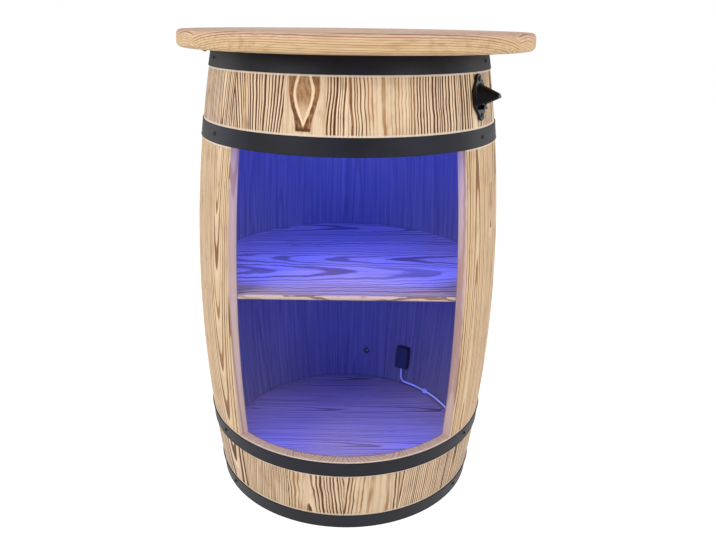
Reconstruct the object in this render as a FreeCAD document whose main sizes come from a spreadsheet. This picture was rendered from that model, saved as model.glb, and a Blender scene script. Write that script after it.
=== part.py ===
"""Barrel bar cabinet: a sixteen-stave barrel with four staves cut away, two heads, a shelf and a round top.

Millimetres. +Z is up and the origin lies on the floor, on the barrel's axis. The opening faces -Y, and an
azimuth is measured from there towards +X. Every driving dimension is in the sheet Sizes, and what follows
from them is in the sheet Worked.
"""

import FreeCAD
import Part
import Sketcher
import math
import os
import re
from FreeCAD import Placement, Rotation, Vector

SIZES = (
    # the barrel's staves
    ("barrel_height", 782.0),
    ("bilge_radius", 268.0),  # outside the staves at mid-height
    ("head_radius", 234.0),  # outside the staves at both ends
    ("stave_thickness", 18.0),
    ("stave_count", 16),
    ("opening_staves", 4),
    ("stave_ease", 0.8),
    ("sill_height", 138.0),  # top of the short staves under the opening
    ("lintel_drop", 143.0),  # from the staves' top down to the short staves' lower end
    # the two heads in their croze grooves
    ("head_thickness", 18.0),
    ("head_chime", 24.0),  # from the staves' top to the upper head
    ("floor_chime", 27.0),  # from the floor to the lower head
    ("head_boards", 4),
    ("croze_depth", 5.0),
    ("tongue_thickness", 8.0),
    ("tongue_bevel", 14.0),
    # hoops of steel strip, lapped and riveted at the back
    ("hoop_thickness", 1.6),
    ("upper_hoop_width", 28.0),
    ("lower_hoop_width", 26.0),
    ("head_hoop_inset", 1.6),  # from the staves' top down to the hoop's upper edge
    ("upper_bilge_hoop_drop", 116.6),  # the same for the next hoop
    ("lower_bilge_hoop_low", 110.7),
    ("foot_hoop_low", 0.5),
    ("lap_angle", 9.0),
    ("joggle_angle", 1.2),
    ("rivet_spacing", 20.0),
    ("rivet_radius", 2.5),
    ("rivet_head_radius", 5.0),
    ("rivet_head_height", 2.0),
    # round-headed screws that pin the hoops
    ("pin_radius", 1.6),
    ("pin_length", 15.0),
    ("pin_head_radius", 3.4),
    ("pin_head_height", 1.8),
    ("head_pin_azimuth", 65.0),
    # tabletop
    ("tabletop_radius", 300.0),
    ("tabletop_thickness", 28.0),
    ("tabletop_rounding", 8.0),
    ("tabletop_shift", 10.0),  # its centre lies this far to the right of the barrel's
    ("tabletop_boards", 5),
    ("batten_length", 340.0),
    ("batten_width", 60.0),
    ("batten_spacing", 190.0),
    ("batten_bevel", 10.0),
    # shelf and its cleats
    ("shelf_bottom", 386.0),
    ("shelf_thickness", 8.0),
    ("shelf_front", 176.0),  # from the axis to the shelf's straight front edge
    ("shelf_rounding", 2.0),
    ("shelf_boards", 3),
    ("cleat_length", 60.0),
    ("cleat_depth", 26.0),
    ("cleat_height", 25.0),
    ("cleat_azimuth", 78.75),
    ("cleat_screw_spacing", 36.0),
    # countersunk wood screws
    ("screw_radius", 2.0),
    ("screw_length", 40.0),
    ("screw_head_radius", 4.0),
    ("screw_head_height", 2.6),
    # bottle opener, a casting
    ("opener_azimuth", 55.0),
    ("opener_drop", 67.5),  # from the staves' top down to the plate's middle
    ("opener_plate", 4.5),
    ("opener_lug_radius", 8.0),
    ("opener_lug_rise", 27.0),
    ("opener_width", 42.0),
    ("opener_point_radius", 8.0),
    ("opener_point_drop", 29.5),
    ("opener_hood_radius", 17.0),
    ("opener_reach", 36.0),
    ("opener_wall", 3.5),
    ("opener_tooth", 7.0),
    ("opener_tip_radius", 5.5),
    ("opener_screw_radius", 1.9),
    ("opener_screw_length", 18.0),
    ("opener_screw_head", 4.0),
    # screw hook under the tabletop
    ("hook_share", 0.5832),  # of the way from the head hoop to the tabletop's rim
    ("hook_azimuth", -99.3),
    ("hook_wire", 1.2),
    ("hook_bend", 4.4),
    ("hook_drop", 7.4),
    ("hook_bite", 12.0),
    ("hook_collar", 2.8),
    # lighting
    ("strip_width", 10.0),
    ("strip_thickness", 2.2),
    ("strip_azimuth", 51.0),
    ("strip_low", 76.0),
    ("strip_drop", 92.0),  # from the staves' top down to the middle of the level strip
    ("chip_size", 5.0),
    ("chip_height", 1.0),
    ("chip_pitch", 33.3),
    ("connector_thickness", 7.0),
    ("connector_size", 16.0),
    ("controller_azimuth", 146.25),
    ("controller_low", 78.0),
    ("controller_length", 48.0),
    ("controller_width", 28.0),
    ("controller_depth", 14.0),
    ("controller_rounding", 2.5),
    ("controller_lift", 0.9),  # tape behind the controller, whose back is flat
    ("socket_radius", 2.8),
    ("socket_depth", 10.0),
    ("lead_radius", 2.0),
    ("lead_height", 48.0),
    ("lead_bend", 10.0),
    ("lead_entry", 4.0),
    ("lead_clearance", 4.0),  # from the staves to the lead's middle
    ("clip_length", 8.0),
    ("clip_wall", 2.0),
    ("clip_count", 3),
    ("grommet_azimuth", 168.75),
    ("grommet_height", 96.0),
    ("grommet_bore", 4.0),
    ("grommet_wall", 2.0),
    ("grommet_flange", 9.0),
    # clearances
    ("seat_gap", 0.3),
    ("fit_gap", 0.1),
)

WORKED = (
    ("bulge_depth", "bilge_radius - head_radius"),
    ("bulge_radius", "((barrel_height/2)^2 + bulge_depth^2) / (2*bulge_depth)"),
    ("bulge_back", "bulge_radius - bilge_radius"),
    ("mid_height", "barrel_height / 2"),
    ("stave_angle", "360 / stave_count"),
    ("opening_half", "stave_angle * opening_staves / 2"),
    ("lintel_height", "barrel_height - lintel_drop"),
    ("head_hoop_low", "barrel_height - head_hoop_inset - upper_hoop_width"),
    ("upper_bilge_hoop_low", "barrel_height - upper_bilge_hoop_drop - upper_hoop_width"),
    ("opener_height", "barrel_height - opener_drop"),
    ("strip_high", "barrel_height - strip_drop"),
    ("head_middle", "barrel_height - head_chime - head_thickness/2"),
    ("floor_middle", "floor_chime + head_thickness/2"),
    ("head_underside", "barrel_height - head_chime - head_thickness"),
    ("batten_underside", "barrel_height - head_chime"),
    ("floor_top", "floor_chime + head_thickness"),
    ("shelf_top", "shelf_bottom + shelf_thickness"),
    ("board_width", "2*tabletop_radius / tabletop_boards"),
    ("hoop_side", "head_radius + seat_gap + hoop_thickness + tabletop_shift"),
    ("hook_reach", "hoop_side + hook_share*(tabletop_radius - hoop_side)"),
)

doc = FreeCAD.newDocument("BarrelBar")


def fill_sheet(name, rows):
    """Put each row's name in column A and its value or formula in column B, with the name as alias."""
    sheet = doc.addObject("Spreadsheet::Sheet", name)
    for line, (alias, content) in enumerate(rows, 1):
        sheet.set(f"A{line}", alias)
        sheet.set(f"B{line}", str(content))
        sheet.setAlias(f"B{line}", alias)
        doc.recompute()
    return sheet


OWNER = {alias: "Sizes" for alias, _ in SIZES}


def on_sheets(text):
    """The same expression with the sheet's name written before every alias."""
    return re.sub(r"[a-z]+(_[a-z]+)+", lambda found: f"{OWNER[found[0]]}.{found[0]}", text)


fill_sheet("Sizes", SIZES)
worked_rows = []
for worked_name, formula in WORKED:
    worked_rows.append((worked_name, "=" + on_sheets(formula)))
    OWNER[worked_name] = "Worked"
fill_sheet("Worked", [(alias, text.replace("Worked.", "")) for alias, text in worked_rows])
reader = doc.addObject("App::FeaturePython", "Reader")


def size(text):
    """The number that an expression on the aliases comes to."""
    return float(reader.evalExpression(on_sheets(text)))


def bind(thing, name, text):
    """Tie one property or constraint to an expression on the aliases."""
    thing.setExpression(name, on_sheets(text))


def outside(height):
    """Expression for the staves' outer radius at a height: a circular arc that is widest at mid-height."""
    return f"(sqrt(bulge_radius^2 - ({height} - mid_height)^2) - bulge_back)"


def inside(height):
    """Expression for the staves' inner radius at a height, on the arc one stave thickness further in."""
    return f"(sqrt((bulge_radius - stave_thickness)^2 - ({height} - mid_height)^2) - bulge_back)"


# ---------------------------------------------------------------- places


def outward(azimuth):
    """Level unit vector from the axis towards an azimuth."""
    angle = math.radians(azimuth)
    return Vector(math.sin(angle), -math.cos(angle), 0)


def facing(azimuth):
    """Turn that brings a piece drawn along +X to an azimuth."""
    return Placement(Vector(), Rotation(Vector(0, 0, 1), azimuth - 90))


def on_arc(azimuth, height, arc_radius, radius):
    """Frame on a face of the staves: local Z is its outward normal, local Y climbs it, local X goes right."""
    lean = math.asin((height - size("mid_height")) / arc_radius)
    level = outward(azimuth)
    normal = level * math.cos(lean) + Vector(0, 0, math.sin(lean))
    climb = Vector(0, 0, math.cos(lean)) - level * math.sin(lean)
    turn = Rotation(climb.cross(normal), climb, normal, "ZYX")
    return Placement(level * radius + Vector(0, 0, height), turn)


def on_staves(azimuth, height, lift=0.0):
    """Frame on the outer face, lifted off it."""
    face = on_arc(azimuth, height, size("bulge_radius"), size(outside(str(height))))
    return face * Placement(Vector(0, 0, lift), Rotation())


def in_staves(azimuth, height, lift=0.0):
    """Frame on the inner face, lifted off it: local Z points to the barrel's inside."""
    face = on_arc(azimuth, height, size("bulge_radius - stave_thickness"), size(inside(str(height))))
    return face * Placement(Vector(0, 0, -lift), Rotation(Vector(0, 1, 0), 180))


def head_down(across, back, height):
    """Frame for a screw driven upwards: its head faces the floor."""
    return Placement(Vector(across, back, height), Rotation(Vector(1, 0, 0), 180))


# ---------------------------------------------------------------- drawing helpers

subparts = []


def named(piece, label):
    """Give a finished sub-part its label and list it for the export."""
    piece.Label = label
    subparts.append(piece)
    return piece


def plane_of(body, role):
    return next(plane for plane in body.Origin.OriginFeatures if plane.Role == role)


def sketch_on(body, name, role="XZ_Plane", turn=0.0, lift=0.0):
    """New sketch on an origin plane, turned about the plane's own upright axis or lifted off it."""
    drawing = body.newObject("Sketcher::SketchObject", name)
    drawing.AttachmentSupport = [(plane_of(body, role), "")]
    drawing.MapMode = "FlatFace"
    drawing.AttachmentOffset = Placement(Vector(0, 0, lift), Rotation(Vector(0, 1, 0), turn))
    return drawing


def fix(drawing, kind, *where):
    """Add a dimension constraint and tie its value, the last item, to an expression."""
    *points, text = where
    index = drawing.addConstraint(Sketcher.Constraint(kind, *points, size(text)))
    bind(drawing, f"Constraints[{index}]", text)


def polygon(drawing, corners):
    """Closed outline of straight sides, each corner held by its two distances from the origin."""
    spots = [Vector(size(across), size(up), 0) for across, up in corners]
    count = len(spots)
    for i, spot in enumerate(spots):
        drawing.addGeometry(Part.LineSegment(spot, spots[(i + 1) % count]), False)
    for i in range(count):
        drawing.addConstraint(Sketcher.Constraint("Coincident", i, 2, (i + 1) % count, 1))
    for i, (across, up) in enumerate(corners):
        fix(drawing, "DistanceX", -1, 1, i, 1, across)
        fix(drawing, "DistanceY", -1, 1, i, 1, up)


def bowed_outline(drawing, arc_radius, thickness, low, high):
    """Section of a stave or strip: two arcs about the bulge's centre, closed by level ends."""
    back, middle = size("bulge_back"), size("mid_height")
    outer = size(arc_radius)
    inner = outer - size(thickness)
    ends = size(low), size(high)

    def spot(radius, height):
        return Vector(math.sqrt(radius**2 - (height - middle) ** 2) - back, height, 0)

    for radius in (outer, inner):
        between = spot(radius, sum(ends) / 2)
        drawing.addGeometry(Part.Arc(spot(radius, ends[0]), between, spot(radius, ends[1])).copy(), False)
    for height in ends:
        drawing.addGeometry(Part.LineSegment(spot(inner, height), spot(outer, height)), False)
    for rule in (
        ("Coincident", 0, 3, 1, 3),
        ("Coincident", 2, 1, 1, 1),
        ("Coincident", 2, 2, 0, 1),
        ("Coincident", 3, 1, 1, 2),
        ("Coincident", 3, 2, 0, 2),
        ("Horizontal", 2),
        ("Horizontal", 3),
    ):
        drawing.addConstraint(Sketcher.Constraint(*rule))
    fix(drawing, "DistanceX", 0, 3, -1, 1, "bulge_back")
    fix(drawing, "DistanceY", -1, 1, 0, 3, "mid_height")
    fix(drawing, "Radius", 0, arc_radius)
    fix(drawing, "Radius", 1, f"{arc_radius} - {thickness}")
    fix(drawing, "DistanceY", 2, 2, 3, 2, f"{high} - {low}")
    fix(drawing, "DistanceY", -1, 1, 3, 2, high)


def turn_about_axis(body, kind, name, drawing, angle=None, midplane=False):
    """Revolution or Groove of a sketch about the barrel's or the piece's own upright axis."""
    before = body.Shape.Volume if kind == "Groove" else 0.0
    feature = body.newObject(f"PartDesign::{kind}", name)
    feature.Profile = drawing
    feature.ReferenceAxis = (drawing, ["V_Axis"])
    feature.Midplane = midplane
    feature.Angle = 360
    if angle:
        bind(feature, "Angle", angle)
    doc.recompute()
    if kind == "Groove" and body.Shape.Volume >= before:
        raise ValueError(f"{name} cuts nothing")
    return feature


def turned(name, corners):
    """A body of revolution about +Z from one closed outline."""
    body = doc.addObject("PartDesign::Body", name)
    drawing = sketch_on(body, name + "_outline")
    polygon(drawing, corners)
    turn_about_axis(body, "Revolution", name + "_turned", drawing)
    return body


def padded(body, drawing, name, length, midplane=False):
    pad = body.newObject("PartDesign::Pad", name)
    pad.Profile = drawing
    bind(pad, "Length", length)
    pad.Midplane = midplane
    doc.recompute()
    return pad


def edges_where(feature, wanted):
    return [f"Edge{i}" for i, edge in enumerate(feature.Shape.Edges, 1) if wanted(edge)]


def box(name, corner, spans):
    """Block whose lower corner and three spans are expressions."""
    block = doc.addObject("Part::Box", name)
    for property_name, text in zip(("Length", "Width", "Height"), spans):
        bind(block, property_name, text)
    for axis, text in zip("xyz", corner):
        bind(block, f".Placement.Base.{axis}", text)
    return block


def common(name, first, second):
    shared = doc.addObject("Part::Common", name)
    shared.Base = first
    shared.Tool = second
    return shared


def cut(name, base, tool):
    """Base less tool. The recompute shows whether the tool reached it."""
    rest = doc.addObject("Part::Cut", name)
    rest.Base = base
    rest.Tool = tool
    doc.recompute()
    if rest.Shape.Volume >= base.Shape.Volume:
        raise ValueError(f"{name} cuts nothing")
    return rest


def group(name, pairs):
    """Copies of finished pieces, each at its own place, as one compound of links."""
    copies = []
    for number, (master, place) in enumerate(pairs, 1):
        copy = doc.addObject("App::Link", f"{name}_copy_{number}")
        copy.LinkedObject = master
        copy.LinkTransform = True
        copy.Placement = place
        copies.append(copy)
    whole = doc.addObject("Part::Compound", name)
    whole.Links = copies
    doc.recompute()
    return whole


def drilled(label, piece, pairs):
    """The piece less every tool at its place, or the piece itself where there are none."""
    return cut(label + "_drilled", piece, group(label + "_drill", pairs)) if pairs else piece


# ---------------------------------------------------------------- fasteners and their holes


def fastener(name, outline):
    """A fastener with its head's seat at z = 0 and its shank below, and the tool for its hole."""
    pair = []
    for suffix, grow in (("", "0"), ("_hole", "fit_gap")):
        corners = [(across.format(grow=grow), up.format(grow=grow)) for across, up in outline]
        pair.append(turned(name + suffix, corners))
    return pair


def button_head(shank, length, head, height):
    """Domed head over a plain shank."""
    return [
        ("0", f"-{length} - {{grow}}"),
        (f"{shank} + {{grow}}", f"-{length} - {{grow}}"),
        (f"{shank} + {{grow}}", "0"),
        (f"{head} + {{grow}}", "0"),
        (f"0.7*{head} + {{grow}}", f"0.8*{height} + {{grow}}"),
        ("0", f"{height} + {{grow}}"),
    ]


def sunk_head(shank, length, head, height):
    """Flat countersunk head, flush with the wood, over a plain shank."""
    return [
        ("0", f"-{length} - {{grow}}"),
        (f"{shank} + {{grow}}", f"-{length} - {{grow}}"),
        (f"{shank} + {{grow}}", f"-{height}"),
        (f"{head} + {{grow}}", "0"),
        ("0", "0"),
    ]


pin, pin_hole = fastener("pin", button_head("pin_radius", "pin_length", "pin_head_radius", "pin_head_height"))
rivet, rivet_hole = fastener(
    "rivet", button_head("rivet_radius", "2*hoop_thickness", "rivet_head_radius", "rivet_head_height")
)
screw, screw_hole = fastener(
    "screw", sunk_head("screw_radius", "screw_length", "screw_head_radius", "screw_head_height")
)
opener_screw, opener_screw_hole = fastener(
    "opener_screw",
    button_head("opener_screw_radius", "opener_screw_length", "opener_screw_head", "opener_screw_radius"),
)

hoops = {
    "hoop_head": ("head_hoop_low", "upper_hoop_width", "head_pin_azimuth"),
    "hoop_upper_bilge": ("upper_bilge_hoop_low", "upper_hoop_width", "(opening_half + stave_angle/2)"),
    "hoop_lower_bilge": ("lower_bilge_hoop_low", "lower_hoop_width", "(opening_half + stave_angle/2)"),
    "hoop_foot": ("foot_hoop_low", "lower_hoop_width", "(opening_half + stave_angle/2)"),
}
hoop_lift = size("seat_gap + hoop_thickness")
pin_places = {}
rivet_places = {}
for hoop, (low, width, azimuth) in hoops.items():
    middle = size(f"{low} + {width}/2")
    front = size(azimuth)
    rear = size("stave_angle*(stave_count - 1)/2 - opening_half")
    pin_places[hoop] = [(side * a, middle) for a in (front, rear) for side in (-1, 1)]
    half_span = math.degrees(size("rivet_spacing") / 2 / size(outside(str(middle))))
    rivet_places[hoop] = [(180 + side * half_span, middle) for side in (-1, 1)]

pin_frames = [on_staves(a, z, hoop_lift) for places in pin_places.values() for a, z in places]
rivet_lift = hoop_lift + size("fit_gap + hoop_thickness")
rivet_frames = [on_staves(a, z, rivet_lift) for places in rivet_places.values() for a, z in places]

opener_frame = on_staves(size("opener_azimuth"), size("opener_height"), size("seat_gap"))
opener_screw_frames = [
    opener_frame * Placement(Vector(0, size(rise), size("opener_plate")), Rotation())
    for rise in ("opener_lug_rise", "-opener_point_drop")
]

cleats = {"shelf_cleat_left": -1, "shelf_cleat_right": 1, "shelf_cleat_rear": 0}
cleat_turn = {
    label: size("cleat_azimuth") * side if side else 180.0 for label, side in cleats.items()
}
cleat_middle = size("shelf_bottom - cleat_height/2")
cleat_face = size("cleat_depth + seat_gap")


def cleat_screws(azimuth):
    """The two screws of a cleat, side by side and level, heads towards the barrel's axis."""
    wall = size(inside(str(cleat_middle)))
    ahead = outward(azimuth)
    aside = Vector(0, 0, 1).cross(ahead)
    turn = Rotation(aside, Vector(0, 0, 1), ahead * -1, "ZYX")
    places = []
    for side in (-0.5, 0.5):
        point = ahead * (wall - cleat_face) + aside * side * size("cleat_screw_spacing")
        places.append(Placement(point + Vector(0, 0, cleat_middle), turn))
    return places


cleat_frames = {label: cleat_screws(azimuth) for label, azimuth in cleat_turn.items()}
batten_screw_frames = [
    head_down(side * size("batten_spacing/2"), row * size("board_width"), size("batten_underside"))
    for side in (-1, 1)
    for row in (-1, 0, 1)
]
head_board_width = size(f"2*({inside('head_middle')} + croze_depth) / head_boards")
head_screw_rows = (-size("batten_length/2 - batten_bevel - screw_head_radius"), -head_board_width / 2)
head_screw_frames = [
    head_down(side * size("batten_spacing/2"), flip * row, size("head_underside"))
    for side in (-1, 1)
    for row in head_screw_rows
    for flip in (-1, 1)
]
every_cleat_frame = [place for places in cleat_frames.values() for place in places]

# ---------------------------------------------------------------- staves

grommet_frame = on_staves(size("grommet_azimuth"), size("grommet_height"), size("seat_gap"))
grommet_hole = turned(
    "grommet_hole",
    [
        ("0", "-2*stave_thickness"),
        ("grommet_bore + grommet_wall + fit_gap", "-2*stave_thickness"),
        ("grommet_bore + grommet_wall + fit_gap", "stave_thickness"),
        ("0", "stave_thickness"),
    ],
)

# (azimuth, tool, frame) of everything that is sunk into a stave
sunk = [(a, pin_hole, on_staves(a, z, hoop_lift)) for places in pin_places.values() for a, z in places]
sunk += [(size("opener_azimuth"), opener_screw_hole, place) for place in opener_screw_frames]
cleat_screw_turn = math.degrees(size("cleat_screw_spacing/2 / bilge_radius"))
sunk += [
    (cleat_turn[label] + side * cleat_screw_turn, screw_hole, place)
    for label, places in cleat_frames.items()
    for side, place in zip((-1, 1), places)
]
sunk.append((size("grommet_azimuth"), grommet_hole, grommet_frame))


def groove_for_head(body, name, middle):
    """The croze: a square groove round the inside that holds a head's tongue."""
    drawing = sketch_on(body, name + "_outline")
    reach = f"{inside(middle)} + croze_depth"
    clear = f"{inside(middle)} - croze_depth"
    half = "(tongue_thickness/2 + seat_gap)"
    polygon(
        drawing,
        [
            (clear, f"{middle} - {half}"),
            (reach, f"{middle} - {half}"),
            (reach, f"{middle} + {half}"),
            (clear, f"{middle} + {half}"),
        ],
    )
    turn_about_axis(body, "Groove", name, drawing, "2*stave_angle", midplane=True)


def stave(label, azimuth, low, high, heads):
    """One stave: a bowed section turned through its share of the circle, eased on its long outer edges."""
    body = doc.addObject("PartDesign::Body", label + "_wood")
    drawing = sketch_on(body, label + "_section")
    bowed_outline(drawing, "bulge_radius", "stave_thickness", low, high)
    block = turn_about_axis(body, "Revolution", label + "_block", drawing, "stave_angle", midplane=True)
    bulge = size("bulge_radius")
    eased = body.newObject("PartDesign::Chamfer", label + "_eased")
    long_edges = edges_where(
        block, lambda edge: isinstance(edge.Curve, Part.Circle) and abs(edge.Curve.Radius - bulge) < 0.001
    )
    eased.Base = (block, long_edges)
    bind(eased, "Size", "stave_ease")
    doc.recompute()
    for number, middle in enumerate(heads, 1):
        groove_for_head(body, f"{label}_croze_{number}", middle)
    body.Placement = facing(azimuth)
    half = size("stave_angle/2")
    low_end, high_end = size(low), size(high)
    reached = [
        (tool, place)
        for a, tool, place in sunk
        if abs((a - azimuth + 180) % 360 - 180) < half and low_end < place.Base.z < high_end
    ]
    named(drilled(label, body, reached), label)


full_staves = int(round(size("stave_count - opening_staves")))
for number in range(full_staves):
    middle_azimuth = size("opening_half") + (number + 0.5) * size("stave_angle")
    stave(f"stave_{number + 1:02d}", middle_azimuth, "0", "barrel_height", ("floor_middle", "head_middle"))
for number in range(int(round(size("opening_staves")))):
    middle_azimuth = (number + 0.5) * size("stave_angle") - size("opening_half")
    stave(f"stave_upper_{number + 1}", middle_azimuth, "lintel_height", "barrel_height", ("head_middle",))
    stave(f"stave_lower_{number + 1}", middle_azimuth, "0", "sill_height", ("floor_middle",))

# ---------------------------------------------------------------- hoops


STRIP = (
    # stretch of the strip, start, sweep, near face and far face off the staves
    ("ring", "-lap_angle/2", "360 - joggle_angle", "seat_gap", "seat_gap + hoop_thickness"),
    (
        "step",
        "-lap_angle/2 - joggle_angle",
        "0.8*joggle_angle",
        "seat_gap",
        "seat_gap + fit_gap + 2*hoop_thickness",
    ),
    (
        "tongue",
        "-lap_angle/2 - joggle_angle",
        "lap_angle + joggle_angle",
        "seat_gap + fit_gap + hoop_thickness",
        "seat_gap + fit_gap + 2*hoop_thickness",
    ),
)


def hoop_section(drawing, low, width, near, far):
    """Strip section that leans with the staves between its two edges."""
    high = f"({low} + {width})"
    polygon(
        drawing,
        [
            (f"{outside(low)} + {near}", low),
            (f"{outside(low)} + {far}", low),
            (f"{outside(high)} + {far}", high),
            (f"{outside(high)} + {near}", high),
        ],
    )


def hoop_of_strip(label, low, width):
    """A ring whose end steps out over its beginning at the back, where two rivets close it."""
    body = doc.addObject("PartDesign::Body", label + "_strip")
    for stretch, start, sweep, near, far in STRIP:
        drawing = sketch_on(body, f"{label}_{stretch}_section", turn=size(start))
        hoop_section(drawing, low, width, near, far)
        turn_about_axis(body, "Revolution", f"{label}_{stretch}", drawing, sweep)
    body.Placement = facing(180)
    holes = [(pin_hole, on_staves(a, z, hoop_lift)) for a, z in pin_places[label]]
    holes += [(rivet_hole, on_staves(a, z, rivet_lift)) for a, z in rivet_places[label]]
    named(drilled(label, body, holes), label)


for label, (low, width, _) in hoops.items():
    hoop_of_strip(label, low, width)
named(group("hoop_rivets", [(rivet, place) for place in rivet_frames]), "hoop_rivets")
named(group("hoop_screws", [(pin, place) for place in pin_frames]), "hoop_screws")

# ---------------------------------------------------------------- heads


def head_disc(name, middle, low, high):
    """Round board with a bevelled rim that ends in a tongue for the croze."""
    under = f"({middle} - tongue_thickness/2)"
    over = f"({middle} + tongue_thickness/2)"
    rim = f"{inside(middle)} + croze_depth - seat_gap"
    return turned(
        name,
        [
            ("0", low),
            (f"{inside(low)} - tongue_bevel", low),
            (f"{inside(under)} - seat_gap", under),
            (rim, under),
            (rim, over),
            (f"{inside(over)} - seat_gap", over),
            (f"{inside(high)} - tongue_bevel", high),
            ("0", high),
        ],
    )


def boards_of(disc, labels, front, depth, low, thickness, half_length, middle="0"):
    """Cut a disc into boards that lie side by side from the front backwards, a fit gap apart."""
    pieces = {}
    share = f"({depth}) / {len(labels)}"
    for number, label in enumerate(labels):
        corner = (f"{middle} - {half_length}", f"{front} + {number}*{share} + fit_gap/2", low)
        plank = box(label + "_plank", corner, (f"2*{half_length}", f"{share} - fit_gap", thickness))
        pieces[label] = common(label + "_cut", disc, plank)
    doc.recompute()
    return pieces


head_rim = f"({inside('head_middle')} + croze_depth)"
floor_rim = f"({inside('floor_middle')} + croze_depth)"
head_labels = [f"head_board_{number + 1}" for number in range(int(size("head_boards")))]
floor_labels = [f"floor_board_{number + 1}" for number in range(int(size("head_boards")))]
upper_head = head_disc("upper_head", "head_middle", "head_underside", "batten_underside")
head_pieces = boards_of(
    upper_head, head_labels, f"-{head_rim}", f"2*{head_rim}", "head_underside", "head_thickness", head_rim
)
head_drill = [(screw_hole, place) for place in head_screw_frames]
for label, piece in head_pieces.items():
    named(drilled(label, piece, head_drill), label)
lower_head = head_disc("lower_head", "floor_middle", "floor_chime", "floor_top")
floor_pieces = boards_of(
    lower_head, floor_labels, f"-{floor_rim}", f"2*{floor_rim}", "floor_chime", "head_thickness", floor_rim
)
for label, piece in floor_pieces.items():
    named(piece, label)

# ---------------------------------------------------------------- shelf and cleats

shelf_round = turned(
    "shelf_round",
    [
        ("0", "shelf_bottom"),
        (f"{inside('shelf_bottom')} - seat_gap", "shelf_bottom"),
        (f"{inside('shelf_top')} - seat_gap", "shelf_top"),
        ("0", "shelf_top"),
    ],
)
notch = box(
    "strip_notch",
    (f"{inside('shelf_bottom')} - 2*strip_thickness", "-0.7*strip_width", "shelf_bottom - shelf_thickness"),
    ("stave_thickness", "1.4*strip_width", "3*shelf_thickness"),
)
notches = [(notch, facing(side * size("strip_azimuth"))) for side in (-1, 1)]

# a block that rounds the long edges of the shelf's front, slightly larger than the shelf elsewhere
shelf_block = doc.addObject("PartDesign::Body", "shelf_block")
shelf_plain = shelf_block.newObject("PartDesign::AdditiveBox", "shelf_plain")
for property_name, text in (
    ("Length", "2*bilge_radius"),
    ("Width", "shelf_front + bilge_radius"),
    ("Height", "shelf_thickness"),
):
    bind(shelf_plain, property_name, text)
doc.recompute()
shelf_edges = shelf_block.newObject("PartDesign::Fillet", "shelf_edges")
front_edges = edges_where(
    shelf_plain,
    lambda edge: all(abs(end.Y) < 0.001 for end in edge.Vertexes)
    and abs(edge.Vertexes[0].X - edge.Vertexes[1].X) > 1,
)
shelf_edges.Base = (shelf_plain, front_edges)
bind(shelf_edges, "Radius", "shelf_rounding")
bind(shelf_block, ".Placement.Base.x", "-bilge_radius")
bind(shelf_block, ".Placement.Base.y", "-shelf_front")
bind(shelf_block, ".Placement.Base.z", "shelf_bottom")
doc.recompute()
shelf_whole = common("shelf_whole", shelf_block, shelf_round)
shelf_labels = ["shelf_board_front", "shelf_board_middle", "shelf_board_rear"]
shelf_depth = f"shelf_front + {inside('shelf_bottom')}"
shelf_pieces = boards_of(
    shelf_whole, shelf_labels, "-shelf_front", shelf_depth, "shelf_bottom", "shelf_thickness", "bilge_radius"
)
for label, piece in shelf_pieces.items():
    named(drilled(label, piece, notches if label == "shelf_board_front" else []), label)

cleat_low = "(shelf_bottom - cleat_height)"
cleat_round = turned(
    "cleat_round",
    [
        ("0", cleat_low),
        (f"{inside(cleat_low)} - seat_gap", cleat_low),
        (f"{inside('shelf_bottom')} - seat_gap", "shelf_bottom"),
        ("0", "shelf_bottom"),
    ],
)
cleat_block = box(
    "cleat_block",
    (f"{inside('(shelf_bottom - cleat_height/2)')} - cleat_depth - seat_gap", "-cleat_length/2", cleat_low),
    ("2*cleat_depth", "cleat_length", "cleat_height"),
)
cleat = common("cleat", cleat_round, cleat_block)
doc.recompute()
for label, azimuth in cleat_turn.items():
    blank = group(label + "_blank", [(cleat, facing(azimuth))])
    named(drilled(label, blank, [(screw_hole, place) for place in cleat_frames[label]]), label)

# ---------------------------------------------------------------- tabletop, battens and hook


def circle_at(drawing, across, up, radius):
    """One circle, its middle held from the sketch's origin."""
    middle = Vector(size(across), size(up), 0)
    index = drawing.addGeometry(Part.Circle(middle, Vector(0, 0, 1), size(radius)), False)
    fix(drawing, "Radius", index, radius)
    fix(drawing, "DistanceX", -1, 1, index, 3, across)
    fix(drawing, "DistanceY", -1, 1, index, 3, up)


top = doc.addObject("PartDesign::Body", "tabletop")
top_outline = sketch_on(top, "tabletop_outline", "XY_Plane")
circle_at(top_outline, "0", "0", "tabletop_radius")
top_blank = padded(top, top_outline, "tabletop_blank", "tabletop_thickness")
top_edges = top.newObject("PartDesign::Fillet", "tabletop_edges")
top_edges.Base = (top_blank, edges_where(top_blank, lambda edge: isinstance(edge.Curve, Part.Circle)))
bind(top_edges, "Radius", "tabletop_rounding")
bind(top, ".Placement.Base.x", "tabletop_shift")
bind(top, ".Placement.Base.z", "barrel_height")
doc.recompute()

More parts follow.
